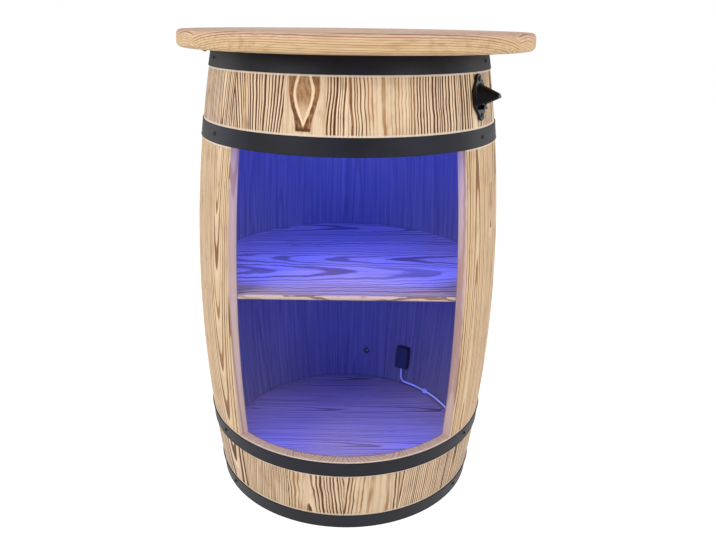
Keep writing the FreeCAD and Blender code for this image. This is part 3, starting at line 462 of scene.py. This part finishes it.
CREST = rgb(244, 222, 194)
SEAM = rgb(238, 212, 176)
MARGIN = rgb(240, 221, 200)
# painted shade: a dark grey laid on the staves' inner face, standing in for the dim light inside the cabinet
PAINTED_INSIDE_SHADE = rgb(90, 88, 90)


def hoop_margin(paint, height):
    """1 on the narrow pale margin beside each hoop."""
    shade = None
    for low, high in HOOPS.values():
        away = abs(height - (low + high) / 2) - (high - low) / 2
        band = away.fall(2.2 * MM, 3.6 * MM)
        shade = band if shade is None else shade.most(band)
    return shade


def knotted(paint, grain, toned, plain, late_tone, dark_tone):
    """A knot over a toned board: mottled brown arms that stand on a flat dark foot, a pale seam round the heart,
    the heart itself, and plain wood about them."""
    edge, above, heart, mottle = grain["knot_edge"], grain["knot_above"], grain["knot_heart"], grain["mottle"]
    waver = (mottle - 0.5) * 0.22
    tall = above.fall(0.9, 1.1)
    zone = (grain["knot_side"] + waver).fall(1.34, 1.46) * above.rise(-1.7, -1.4) * tall
    toned = paint.blend(zone * 0.9, toned, plain)
    shield = (edge + waver).fall(0.94, 1.04) * above.rise(-1.14, -1.08) * tall
    arms = shield * mottle.rise(0.36, 0.62, 0.2, 0.95) * above.rise(-1.0, 0.7, 1.0, 0.6)
    toned = paint.blend(shield, toned, late_tone)
    toned = paint.blend(arms, toned, dark_tone)
    toned = paint.blend(shield * above.rise(-1.06, -0.98, 0.9, 0.0), toned, dark_tone)
    toned = paint.blend((heart + waver).fall(1.04, 1.16), toned, SEAM)
    inside = (heart + waver).fall(0.72, 0.88)
    toned = paint.blend(inside * 0.45, toned, late_tone)
    brown = inside * above.rise(-0.55, 0.0)
    toned = paint.blend(brown * 0.8, toned, late_tone)
    return paint.blend(brown * mottle.rise(0.38, 0.62) * 0.5, toned, dark_tone)


def sawn(paint, grain, raw, raw_line):
    """Raw wood with its rings, streaks and short dashes in one darker tone."""
    colour = paint.blend(grain["late"] * (0.4 + 0.5 * grain["strength"]), raw, raw_line)
    colour = paint.blend(grain["streak"].rise(0.4, 0.75) * 0.35, colour, raw_line)
    return paint.blend(grain["dash"].rise(0.70, 0.78) * 0.5, colour, raw_line)


def torched(paint, grain, early, honey, late_tone, dark_tone):
    """The ground of a torched face, and that face with its lines: a boldly burnt board has paler wood between
    darker lines."""
    burn = grain["burn"]
    heat = grain["patch"].rise(0.34, 0.64)
    tone = grain["late"] * (0.5 + 0.5 * grain["strength"]) * (0.62 + 0.38 * heat) * burn
    tone = tone + (grain["fine"] - 0.5) * 0.3 * (0.3 + grain["late"]) * burn
    tone = tone * (1.0 - 0.68 * grain["plain"])
    ground = paint.blend(burn.rise(0.9, 1.15, 0.85, 0.0), early, honey)
    ground = paint.blend(grain["streak"].rise(0.42, 0.78) * 0.5, ground, late_tone)
    ground = paint.blend(grain["patch"].rise(0.5, 0.8) * 0.4 * burn, ground, late_tone)
    crest = grain["crest"] * (1.0 - grain["plain"]) * burn.rise(0.8, 1.4, 0.2, 0.75)
    face = paint.blend(crest, ground, CREST)
    face = paint.blend(tone.rise(0.02, 0.34), face, late_tone)
    face = paint.blend(tone.rise(0.26, 0.80) * burn.rise(0.85, 1.3, 0.5, 1.0), face, dark_tone)
    return ground, paint.blend(grain["dash"].rise(0.72, 0.78) * 0.55, face, dark_tone)


def burnt_through(paint, grain, face, raw, near, far):
    """The torched colour down to a ragged depth between near and far, and raw wood below it."""
    ragged = grain["depth"] + (grain["streak"] - 0.5) * (far - near)
    return paint.blend(ragged.fall(near, far), raw, face)


def brushed(paint, grain, colour):
    """The surface of brushed softwood: the late wood stands proud, since the brush takes the early wood down."""
    return paint.set(
        specular_ior_level=0.3,
        base_color=colour,
        roughness=0.6 + 0.12 * (grain["fine"] - 0.5) - 0.08 * grain["late"],
        normal=paint.bump(grain["late"] * 0.7 + grain["fine"] * 0.5, 0.22 * MM, 0.8),
    )


def barrel_wood():
    """Staves: torched and brushed outside, with a pale margin beside each hoop, and a painted shade, a dark grey,
    on the inner face.
    """
    paint = Paint("torched_spruce")
    grain = rings_of(paint)
    late_tone, dark_tone = rgb(172, 124, 78), rgb(88, 46, 14)
    ground, face = torched(paint, grain, rgb(231, 206, 173), rgb(224, 194, 152), late_tone, dark_tone)
    face = knotted(paint, grain, face, ground, late_tone, dark_tone)
    face = paint.blend(0.85 * hoop_margin(paint, grain["along"]), face, MARGIN)
    raw = sawn(paint, grain, rgb(216, 188, 166), rgb(176, 136, 112))
    # painted shade: the innermost 2 mm of each stave turn dark grey, with streaky variation, for the shade inside
    # the cabinet
    inside = grain["depth"].rise(STAVE_THICKNESS - 2.5 * MM, STAVE_THICKNESS - 0.5 * MM)
    raw = paint.blend(inside * (0.8 + 0.4 * (grain["streak"] - 0.5)), raw, PAINTED_INSIDE_SHADE)
    return brushed(paint, grain, burnt_through(paint, grain, face, raw, 0.5 * MM, 2.0 * MM))


def tabletop_wood():
    """Tabletop boards: lightly torched on top, which fades down their edge."""
    paint = Paint("brushed_tabletop")
    grain = rings_of(paint)
    _, face = torched(paint, grain, rgb(230, 196, 170), rgb(226, 188, 160), rgb(180, 134, 106), rgb(124, 80, 54))
    raw = sawn(paint, grain, rgb(224, 190, 146), rgb(138, 90, 52))
    return brushed(paint, grain, burnt_through(paint, grain, face, raw, 1.0 * MM, 13.0 * MM))


def plain_wood():
    """Boards that never saw the torch."""
    paint = Paint("raw_softwood")
    grain = rings_of(paint)
    return brushed(paint, grain, sawn(paint, grain, rgb(210, 186, 174), rgb(112, 84, 72)))


# ---------------------------------------------------------------- staves


def section_loop(width_points=9, corner_points=4):
    """Closed section of a stave as factors: half width, edge distance, depth share and depth offset. It runs from
    the left edge over the outer face to the right edge, and back over the inner face."""
    turn = np.linspace(0, np.pi / 2, corner_points)
    edge = STAVE_EDGE * (1 - np.cos(turn))
    dip = STAVE_EDGE * (1 - np.sin(turn))
    middle = np.linspace(-1, 1, width_points + 2)[1:-1]
    half = np.concatenate([-np.ones(corner_points), middle, np.ones(corner_points)])
    offset = np.concatenate([edge, -STAVE_EDGE * middle, -edge[::-1]])
    depth = np.concatenate([dip, np.zeros(width_points), dip[::-1]])
    share = np.concatenate([np.zeros(len(half)), np.ones(len(half))])
    half = np.concatenate([half, half[::-1]])
    offset = np.concatenate([offset, offset[::-1]])
    depth = np.concatenate([depth, -depth[::-1]])
    return half, offset, share, depth


def stations(low, high, crozes, spacing=14 * MM, rounding=0.9 * MM):
    """Heights along a stave with the section's inset at its rounded ends, and its thickness. A croze groove has
    steep sides: two heights a hair apart at each of its edges."""
    turn = np.linspace(0, np.pi / 2, 4)
    rise = rounding * (1 - np.cos(turn))
    inset = rounding * (1 - np.sin(turn))
    inner = np.arange(low + rounding + spacing, high - rounding - spacing / 2, spacing)
    hair, clear = 0.02 * MM, 1 * MM
    groove = []
    for middle in crozes:
        near, far = middle - CROZE_HALF, middle + CROZE_HALF
        inner = inner[(inner < near - clear) | (inner > far + clear)]
        groove += [near - hair, near + hair, far - hair, far + hair]
    body = np.sort(np.concatenate([inner, groove]))
    height = np.concatenate([low + rise, body, high - rise[::-1]])
    shrink = np.concatenate([inset, np.zeros(len(body)), inset[::-1]])
    thickness = np.full(len(height), STAVE_THICKNESS)
    for middle in crozes:
        thickness[np.abs(height - middle) < CROZE_HALF] -= CROZE_DEPTH
    return height[:, None], shrink[:, None], thickness[:, None]


def frame_on_staves(azimuth, height, lift):
    """Matrix of a spot on the outer face: local Z is the outward normal and local Y climbs the stave."""
    turn = math.radians(azimuth)
    lean = math.asin((height - MIDDLE) / BULGE_RADIUS)
    level = Vector((math.sin(turn), -math.cos(turn), 0))
    normal = level * math.cos(lean) + Vector((0, 0, math.sin(lean)))
    climb = Vector((0, 0, math.cos(lean))) - level * math.sin(lean)
    origin = level * float(bow(height)) + Vector((0, 0, height)) + normal * lift
    turned = Matrix((climb.cross(normal), climb, normal)).transposed().to_4x4()
    return Matrix.Translation(origin) @ turned


def turned_points(profile, cut=None, segments=40):
    """Points of a profile turned about Z: columns go round, and cut(x, y) is taken off the height of the domed
    part. The first and last rows lie on the axis."""
    profile = np.array(profile)
    turn = np.linspace(0, 2 * np.pi, segments, endpoint=False)
    x = profile[:, :1] * np.cos(turn)
    y = profile[:, :1] * np.sin(turn)
    z = np.repeat(profile[:, 1:], segments, axis=1)
    if cut is not None:
        z = z - np.where(z > 0.05 * MM, cut(x, y), 0)
    return np.stack([x, y, z], axis=-1)


def at_places(points, matrices):
    """The same points carried to each place, one set after another."""
    places = np.array(matrices)
    turned = points.reshape(-1, 3) @ places[:, :3, :3].transpose(0, 2, 1)
    return turned + places[:, None, :3, 3]


def bored(piece, azimuth, height, radius, length, segments=48):
    """Cut a round hole through a stave, square to its face."""
    profile = [(0, -length), (radius, -length), (radius, length), (0, length)]
    points = at_places(turned_points(profile, None, segments), [frame_on_staves(azimuth, height, 0)])
    faces = tube_faces(len(profile), segments)
    tool = loose_object("bore_tool", points, faces, 30, merge=0.001 * MM)
    hole = piece.modifiers.new("hole", "BOOLEAN")
    hole.operation = "DIFFERENCE"
    hole.object = tool
    settle(piece)
    bpy.data.objects.remove(tool)


# the bared ends of a full stave are burnt this much harder than its belly
END_FLAME = 1.45


def stave(node, azimuth, low, high, crozes, figure, finish, bore=None):
    """A bowed board: the section turned through its share of the circle at every height, on the staves' arc. The
    azimuth is in radians."""
    half, offset, share, dip = section_loop()
    height, shrink, thickness = stations(low, high, crozes)
    depth = share * thickness + dip + np.sign(0.5 - share) * shrink
    radius = bow(height, depth)
    angle = half * (STAVE_ANGLE / 2 - shrink / radius) + offset / radius
    points = around(radius, azimuth + angle, height)
    piece = piece_for(node, node + "_wood", points, capped_faces(*angle.shape), smooth_angle=40)
    if bore is not None:
        bored(piece, **bore)
    x, y, z = corners_of(piece.data).T
    turn = (np.arctan2(x, -y) - azimuth + np.pi) % (2 * np.pi) - np.pi
    ends = (z > LINTEL) | (z < SILL)
    flame = np.where(ends & (high - low > BARREL_HEIGHT / 2), END_FLAME, 1.0)
    as_board(piece, turn * bow(z), z, bow(z) - np.hypot(x, y), figure, flame)
    dressed(piece, finish)


# the staves over and under the opening from left to right, then the full ones from the right round to the left
UPPER_FIGURES = (
    Figure(-500, 60, 0.0, 5.3, 1.4, 1.9, lean=-0.06, fan=2.9, level=710, plain=(-20, 5)),
    Figure(-500, 40, 0.0, 4.9, 1.2, 1.4, knot=(-17, 722, 23.5, 45)),
    Figure(3, 16, 0.0, 4.6, 2.4, 1.15, plain=(9, 32)),
    Figure(-500, 50, 0.0, 5.4, 2.8, 1.8, plain=(-49, 4)),
)
LOWER_FIGURES = (
    Figure(-500, 80, 0.0, 3.2, 1.6, 1.1, lean=0.16, level=70),
    Figure(-12, 14, 0.05, 4.8, 3.4, 1.2, plain=(-26, 14)),
    Figure(10, 26, 0.03, 6.2, 2.8, 1.1, plain=(2, 32)),
    Figure(-500, 60, 0.0, 4.2, 1.4, 1.2, lean=0.05, level=70),
)
FULL_FIGURES = (
    Figure(-20, 4.1, 0.018, 4.6, 1.0, 0.95, knot=(34, 537, 7, 36)),
    Figure(-30, 22, 0.03, 4.0, 2.0, 0.95),
    Figure(4, 12, 0.04, 5.0, 2.0, 0.9),
    Figure(60, 40, 0.02, 3.6, 2.0, 1.05),
    Figure(-10, 34, -0.045, 4.4, 2.4, 0.95),
    Figure(30, 30, 0.02, 3.8, 2.0, 1.0),
    Figure(-46, 30, 0.03, 4.2, 2.0, 0.9),
    Figure(6, 10, 0.05, 4.8, 2.2, 0.95),
    Figure(-20, 40, 0.02, 3.6, 1.8, 1.05),
    Figure(40, 20, 0.04, 4.4, 2.0, 0.9),
    Figure(-8, 34, -0.035, 4.6, 2.4, 0.95),
    Figure(19, 36.3, -0.048, 4.6, 0.8, 1.0),
)
GROMMET_STAVE = "stave_06"
GROMMET_BORE = {"azimuth": 168.75, "height": 96 * MM, "radius": 6.1 * MM, "length": 40 * MM}


def all_staves(finish):
    """The full staves, then the pairs of short ones over and under the opening."""
    opening_half = 2 * STAVE_ANGLE
    for number, figure in enumerate(FULL_FIGURES):
        node = f"stave_{number + 1:02d}"
        azimuth = opening_half + (number + 0.5) * STAVE_ANGLE
        bore = GROMMET_BORE if node == GROMMET_STAVE else None
        stave(node, azimuth, 0, BARREL_HEIGHT, (FLOOR_MIDDLE, HEAD_MIDDLE), figure, finish, bore)
    for number, (upper, lower) in enumerate(zip(UPPER_FIGURES, LOWER_FIGURES)):
        azimuth = (number + 0.5) * STAVE_ANGLE - opening_half
        stave(f"stave_upper_{number + 1}", azimuth, LINTEL, BARREL_HEIGHT, (HEAD_MIDDLE,), upper, finish)
        stave(f"stave_lower_{number + 1}", azimuth, 0, SILL, (FLOOR_MIDDLE,), lower, finish)


all_staves(barrel_wood())

# ---------------------------------------------------------------- flat boards

X, Y, Z = range(3)
UP, DOWN = 1, -1


def flat_board(node, finish, figure, grain_axis, facing):
    """A softened copy of a flat board. The grain runs along one level axis, and the depth is measured from the
    side that shows, which faces up or down."""
    piece = softened(node, smooth_angle=30)
    spots = corners_of(piece.data)
    across_axis = Y if grain_axis == X else X
    low, high = spots.min(0), spots.max(0)
    face = high[Z] if facing == UP else low[Z]
    across = spots[:, across_axis] - (low + high)[across_axis] / 2
    as_board(piece, across, spots[:, grain_axis], np.abs(face - spots[:, Z]), figure)
    dressed(piece, finish)


TABLETOP_FIGURES = (
    Figure(-40, 320, 0.010, 3.4, 2.6, 0.9),
    Figure(-30, 120, 0.014, 3.8, 2.8, 0.9),
    Figure(20, 90, 0.016, 4.0, 2.8, 0.9),
    Figure(-16, 140, 0.014, 3.8, 2.8, 0.9),
    Figure(40, 300, 0.010, 3.4, 2.6, 0.9),
)
SHELF_FIGURES = {
    "shelf_board_front": Figure(44, 70, 0.06, 7.0, 5.5, 1.2),
    "shelf_board_middle": Figure(-30, 50, -0.06, 7.0, 5.5, 1.2),
    "shelf_board_rear": Figure(30, 50, 0.06, 7.0, 5.5, 1.2),
}


def all_flat_boards(top_finish, plain_finish):
    """Tabletop, shelf, both heads, battens and cleats."""
    for number, figure in enumerate(TABLETOP_FIGURES):
        flat_board(f"tabletop_board_{number + 1}", top_finish, figure, X, UP)
    for node, figure in SHELF_FIGURES.items():
        flat_board(node, plain_finish, figure, X, UP)
    for number in range(4):
        head, floor = Figure(20 - 12 * number, 20), Figure(14 * number - 20, 18)
        flat_board(f"head_board_{number + 1}", plain_finish, head, X, DOWN)
        flat_board(f"floor_board_{number + 1}", plain_finish, floor, X, UP)
    for side in ("left", "right"):
        flat_board(f"tabletop_batten_{side}", plain_finish, Figure(10, 30), Y, DOWN)
        flat_board(f"shelf_cleat_{side}", plain_finish, Figure(8, 25), Y, DOWN)
    flat_board("shelf_cleat_rear", plain_finish, Figure(12, 25), X, DOWN)


all_flat_boards(tabletop_wood(), plain_wood())

# ---------------------------------------------------------------- hoops and their fasteners


def black_steel():
    """Strip steel with a satin black coat and a faint rolled texture."""
    paint = Paint("satin_black_strip", specular_ior_level=0.3)
    spot = paint.place()
    cloud = paint.noise(spot, 18.0, 3.0)
    grit = paint.noise(spot, 900.0)
    return paint.set(
        base_color=paint.blend(cloud.rise(0.3, 0.7), rgb(13, 14, 22), rgb(21, 23, 38)),
        roughness=0.5 + 0.12 * (cloud - 0.5) + 0.1 * (grit - 0.5),
        normal=paint.bump(grit, 0.05 * MM, 0.5),
    )


def strip_section(width, rounding=0.45 * MM, corner_points=4):
    """Section of a hoop's strip as two lists: distance from the near face, and height. It starts at the lower near
    corner and its two halves mirror each other. Its outline crosses itself beside both edges: each edge is a
    rounded bead of the full thickness, and the web between them is thinner by one rounding on either side."""
    turn = np.linspace(0, np.pi / 2, corner_points)
    bite = rounding * (1 - np.sin(turn))
    rest = rounding * (1 - np.cos(turn))
    out = np.concatenate([bite, HOOP_THICKNESS - bite[::-1]])
    low = np.concatenate([rest, rest[::-1]])
    return np.concatenate([out, out[::-1]]), np.concatenate([low, width - low[::-1]])


def hoop(node, low, high, finish):
    """A strip carried once round the staves. Its end steps out over its beginning, by a smooth step, and laps it
    at the back."""
    width = high - low
    out, up = strip_section(width)
    lap_start = np.pi - LAP_ANGLE / 2
    joggle = 0.9 * JOGGLE_ANGLE
    level = np.linspace(0, 2 * np.pi - JOGGLE_ANGLE, 241)
    step = level[-1] + np.linspace(0, joggle, 9)[1:]
    tongue = 2 * np.pi + np.linspace(0, LAP_ANGLE, 9)
    sweep = np.concatenate([level, step, tongue])
    ease = np.clip((sweep - level[-1]) / joggle, 0, 1)
    lift = (HOOP_THICKNESS + LAP_GAP) * ease * ease * (3 - 2 * ease)
    share = up / width
    wall = bow(low) * (1 - share) + bow(high) * share
    radius = wall + SEAT_GAP + out + lift[:, None]
    points = around(radius, lap_start + sweep[:, None], low + up)
    piece = piece_for(node, node + "_strip", points, capped_faces(*radius.shape))
    dressed(piece, finish)


def repeated(node, name, points, matrices, finish, smooth_angle=40):
    """One mesh of several turned pieces, each at its own place."""
    rows, columns, _ = points.shape
    starts = rows * columns * np.arange(len(matrices))
    faces = tube_faces(rows, columns) + starts[:, None, None]
    placed = at_places(points, matrices)
    piece = piece_for(node, name, placed, faces.reshape(-1, 4), smooth_angle, merge=0.001 * MM)
    dressed(piece, finish)


def dome(radius, height, shank, length, rows=14):
    """Profile of a round head over a plain shank: a circular cap that meets its seat with a short skirt."""
    ball = (radius**2 + height**2) / (2 * height)
    reach = np.linspace(1, 0, rows) ** 0.8 * radius
    cap = np.sqrt(ball**2 - reach**2) - (ball - height)
    head = np.stack([reach, np.maximum(cap, 0.18 * MM)], axis=-1)
    foot = np.array([(0, -length), (shank, -length), (shank, 0), (radius, 0)])
    return np.vstack([foot, head])


def cross_recess(arm, half, deep):
    """Depth of a cross-shaped driver recess at a point of a screw's head: two slots whose walls and ends slope."""

    def slot(along, beside):
        end = np.clip((arm - np.abs(along)) / (0.3 * MM), 0, 1)
        return end * np.clip((half - np.abs(beside)) / (0.12 * MM), 0, 1)

    return lambda x, y: deep * np.maximum(slot(x, y), slot(y, x))


def black_hardware():
    """Black oxide on small turned steel."""
    paint = Paint("black_oxide", metallic=0.6, specular_ior_level=0.5)
    grit = paint.noise(paint.place(), 1500.0)
    return paint.set(base_color=paint.blend(grit, rgb(26, 26, 29), rgb(42, 42, 46)), roughness=0.32 + 0.15 * grit)


def all_hoops(hoop_finish, hardware_finish):
    """The four hoops, their screws and the rivets of their laps."""
    outer_face = SEAT_GAP + HOOP_THICKNESS
    lapped_face = outer_face + LAP_GAP + HOOP_THICKNESS
    screw_spots, rivet_spots = [], []
    for node, (low, high) in HOOPS.items():
        hoop(node, low, high, hoop_finish)
        centre, front = (low + high) / 2, FRONT_SCREW_AZIMUTHS[node]
        half_span = math.degrees(RIVET_SPACING / 2 / float(bow(centre)))
        for azimuth in (-front, front, -REAR_SCREW_AZIMUTH, REAR_SCREW_AZIMUTH):
            screw_spots.append(frame_on_staves(azimuth, centre, outer_face))
        for azimuth in (180 - half_span, 180 + half_span):
            rivet_spots.append(frame_on_staves(azimuth, centre, lapped_face))
    screw = dome(radius=3.4 * MM, height=1.8 * MM, shank=1.6 * MM, length=15 * MM)
    recess = cross_recess(arm=2.1 * MM, half=0.5 * MM, deep=0.9 * MM)
    rivet = dome(radius=5 * MM, height=2 * MM, shank=2.5 * MM, length=3.2 * MM)
    repeated("hoop_screws", "hoop_screw_heads", turned_points(screw, recess, 48), screw_spots, hardware_finish)
    repeated("hoop_rivets", "hoop_rivet_heads", turned_points(rivet), rivet_spots, hardware_finish)


hardware_finish = black_hardware()
all_hoops(black_steel(), hardware_finish)

# ---------------------------------------------------------------- opener, hook and wood screws


def gloss_enamel():
    """Black enamel on rough cast iron: a soft orange-peel surface under a clear gloss."""
    paint = Paint("gloss_enamel", specular_ior_level=0.12, coat_weight=0.2, coat_roughness=0.04)
    spot = paint.place()
    peel = paint.noise(spot, 320.0)
    cloud = paint.noise(spot, 60.0)
    return paint.set(
        base_color=paint.blend(cloud, rgb(7, 7, 10), rgb(15, 15, 19)),
        roughness=0.2 + 0.1 * cloud,
        normal=paint.bump(peel, 0.35 * MM, 0.6),
    )


def zinc():
    """Bright zinc plate with a faint spangle."""
    paint = Paint("zinc_plate", metallic=1.0)
    spangle = paint.noise(paint.place(), 700.0)
    return paint.set(
        base_color=paint.blend(spangle, rgb(128, 126, 120), rgb(166, 164, 158)), roughness=0.28 + 0.2 * spangle
    )


def cast(node, finish, voxel, rounds):
    """A copy of a casting whose edges are rounded as they leave the mould: remeshed finely, then smoothed."""
    piece = softened(node)
    remesh = piece.modifiers.new("remesh", "REMESH")
    remesh.mode = "VOXEL"
    remesh.voxel_size = voxel
    smooth = piece.modifiers.new("smooth", "SMOOTH")
    smooth.factor = 0.5
    smooth.iterations = rounds
    settle(piece)
    tidy_mesh(piece.data, 60)
    dressed(piece, finish)


zinc_finish = zinc()
cast("bottle_opener", gloss_enamel(), voxel=0.6 * MM, rounds=6)
dressed(softened("towel_hook"), zinc_finish)
dressed(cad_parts["wood_screws"], zinc_finish)
dressed(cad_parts["opener_screws"], hardware_finish)

# ---------------------------------------------------------------- lighting strip

LAMP_COLOUR = (0.02, 0.065, 1.0)


def plastic(name, low, high, roughness):
    """Moulded plastic with a fine spark-eroded grain."""
    paint = Paint(name)
    grain = paint.noise(paint.place(), 400.0)
    return paint.set(
        base_color=paint.blend(grain, low, high),
        roughness=roughness + 0.1 * (grain - 0.5),
        normal=paint.bump(grain, 0.05 * MM, 0.5),
    )


def lit_lamp():
    """A lit lamp under a milky lens, with a slight flicker of its colour over the lens."""
    paint = Paint("lit_lamp", base_color=rgb(225, 225, 235), emission_strength=6.0, roughness=0.3)
    flicker = paint.noise(paint.place(), 300.0, 1.0)
    return paint.set(emission_color=paint.blend(flicker, (0.20, 0.16, 1.0, 1.0), (0.34, 0.26, 1.0, 1.0)))


def lighting():
    """The finish of every piece of the lighting set."""
    tape_finish = plastic("strip_tape", rgb(222, 222, 224), rgb(236, 236, 238), 0.5)
    milky_finish = plastic("milky_plastic", rgb(214, 214, 218), rgb(230, 230, 234), 0.3)
    dark_finish = plastic("dark_moulding", rgb(38, 38, 41), rgb(52, 52, 56), 0.5)
    sheath_finish = plastic("lead_sheath", rgb(222, 222, 222), rgb(234, 234, 234), 0.4)
    rubber_finish = plastic("grommet_rubber", rgb(30, 30, 31), rgb(44, 44, 45), 0.7)
    for node, finish in (
        ("led_strip_left", tape_finish),
        ("led_strip_top", tape_finish),
        ("led_strip_right", tape_finish),
        ("led_chips", lit_lamp()),
        ("led_corner_connectors", milky_finish),
        ("led_controller", dark_finish),
        ("led_lead", sheath_finish),
        ("lead_clips", milky_finish),
    ):
        dressed(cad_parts[node], finish)
    dressed(softened("cable_grommet"), rubber_finish)


lighting()

# ---------------------------------------------------------------- room, lamps and camera


def room():
    """A pale floor that stays white to the camera but keeps the cabinet's shadow, and a white surround."""
    reach = 6.0
    corners = [(-reach, -reach, 0), (reach, -reach, 0), (reach, reach, 0), (-reach, reach, 0)]
    mesh = bpy.data.meshes.new("studio_floor")
    mesh.from_pydata(corners, [], [(0, 1, 2, 3)])
    floor = bpy.data.objects.new("studio_floor", mesh)
    bpy.context.scene.collection.objects.link(floor)
    paint = Paint("studio_floor", base_color=(0.86, 0.86, 0.86, 1), roughness=0.9, specular_ior_level=0.1)
    seen = paint.ray("Camera").most(paint.ray("Glossy")).most(paint.ray("Transmission"))
    glow = paint.node("ShaderNodeEmission", None, {"Color": (1, 1, 1, 1), "Strength": 1.2})
    inputs = {0: seen * 0.8, 1: Signal(paint, paint.surface.outputs[0]), 2: glow}
    mixed = paint.node("ShaderNodeMixShader", None, inputs)
    paint.feed(paint.tree.nodes["Material Output"].inputs["Surface"], mixed)
    mesh.materials.append(paint.material)

    # white to the camera, and a weaker light on the cabinet
    world = bpy.data.worlds.new("studio")
    bpy.context.scene.world = world
    world.use_nodes = True
    sky = Nodes(world.node_tree)
    background = sky.tree.nodes["Background"]
    sky.feed(background.inputs["Color"], (1, 1, 1, 1))
    sky.feed(background.inputs["Strength"], 0.35 + 0.65 * sky.ray("Camera"))


def lamp(name, spot, aim, size, power, colour=(1, 1, 1), spread=180.0, gloss=1.0):
    """A soft rectangular lamp that shines from a spot towards an aim and isn't seen itself. Its gloss is how
    much of it glossy surfaces reflect."""
    data = bpy.data.lights.new(name, "AREA")
    data.shape = "RECTANGLE"
    data.size, data.size_y = size
    data.energy = power
    data.color = colour
    data.spread = math.radians(spread)
    data.specular_factor = gloss
    holder = bpy.data.objects.new(name, data)
    bpy.context.scene.collection.objects.link(holder)
    holder.location = spot
    holder.rotation_euler = (Vector(aim) - Vector(spot)).to_track_quat("-Z", "Y").to_euler()
    holder.visible_camera = False


def studio_lamps():
    """Two large softboxes in front, and three weaker ones at the sides and behind."""
    lamp("key_softbox", (-1.9, -1.9, 1.9), (0, 0, 0.45), (1.6, 1.6), 43)
    lamp("fill_softbox", (1.9, -1.8, 1.8), (0, 0, 0.45), (1.6, 1.6), 35)
    lamp("left_softbox", (-2.2, 0.6, 1.0), (0, 0, 0.4), (1.2, 1.6), 9, gloss=0.3)
    lamp("right_softbox", (2.2, 0.6, 1.0), (0, 0, 0.4), (1.2, 1.6), 9, gloss=0.3)
    lamp("rear_softbox", (0, 2.4, 0.8), (0, 0, 0.4), (1.6, 1.4), 16, gloss=0.3)


UPRIGHT_LENGTHS = ((90 * MM, 370 * MM), (460 * MM, 660 * MM))  # under the shelf and over it
TAPE_WIDTH = 10 * MM


def strip_lamps():
    """The light of the strips, from lamps just off the wall beside each length of tape. The upright ones, two on
    each side, shine level, and three along the level strip shine down to the back."""
    for side, azimuth in (("left", -STRIP_AZIMUTH), ("right", STRIP_AZIMUTH)):
        for low, high in UPRIGHT_LENGTHS:
            centre = (low + high) / 2
            radius = min(bow(low, STAVE_THICKNESS), bow(high, STAVE_THICKNESS)) - 8 * MM
            name = f"strip_{side}_{round(centre / MM)}"
            spot = around(radius, math.radians(azimuth), centre)
            lamp(name, spot, (0, 0.16, centre), (TAPE_WIDTH, high - low), 1.0, LAMP_COLOUR, 170)
    radius = bow(STRIP_HIGH, STAVE_THICKNESS) - 10 * MM
    for azimuth in (-34, 0, 34):
        spot = around(radius, math.radians(azimuth), STRIP_HIGH)
        lamp(f"strip_top_{azimuth}", spot, (0, 0.25, 0.60), (0.12, TAPE_WIDTH), 0.75, LAMP_COLOUR, 160)


def front_camera():
    """The camera stands in front, a little above the tabletop, and looks down. Its focal length, and the width,
    height and optical centre of its frame, are in pixels."""
    focal_length, width, height = 707.516, 716, 540
    centre_x, centre_y = 350.557, 209.300
    data = bpy.data.cameras.new("camera")
    data.sensor_width = 36
    data.lens = focal_length / width * data.sensor_width
    data.shift_x = (width / 2 - centre_x) / width
    data.shift_y = (centre_y - height / 2) / width
    holder = bpy.data.objects.new("camera", data)
    bpy.context.scene.collection.objects.link(holder)
    pitch, roll = math.radians(90 - 15.07735), math.radians(0.74298)
    holder.matrix_world = (
        Matrix.Translation((0.0045989, -1.2481348, 0.8289128))
        @ Matrix.Rotation(pitch, 4, "X")
        @ Matrix.Rotation(roll, 4, "Z")
    )
    bpy.context.scene.camera = holder


room()
studio_lamps()
strip_lamps()
front_camera()
bpy.context.scene.view_settings.view_transform = "Standard"
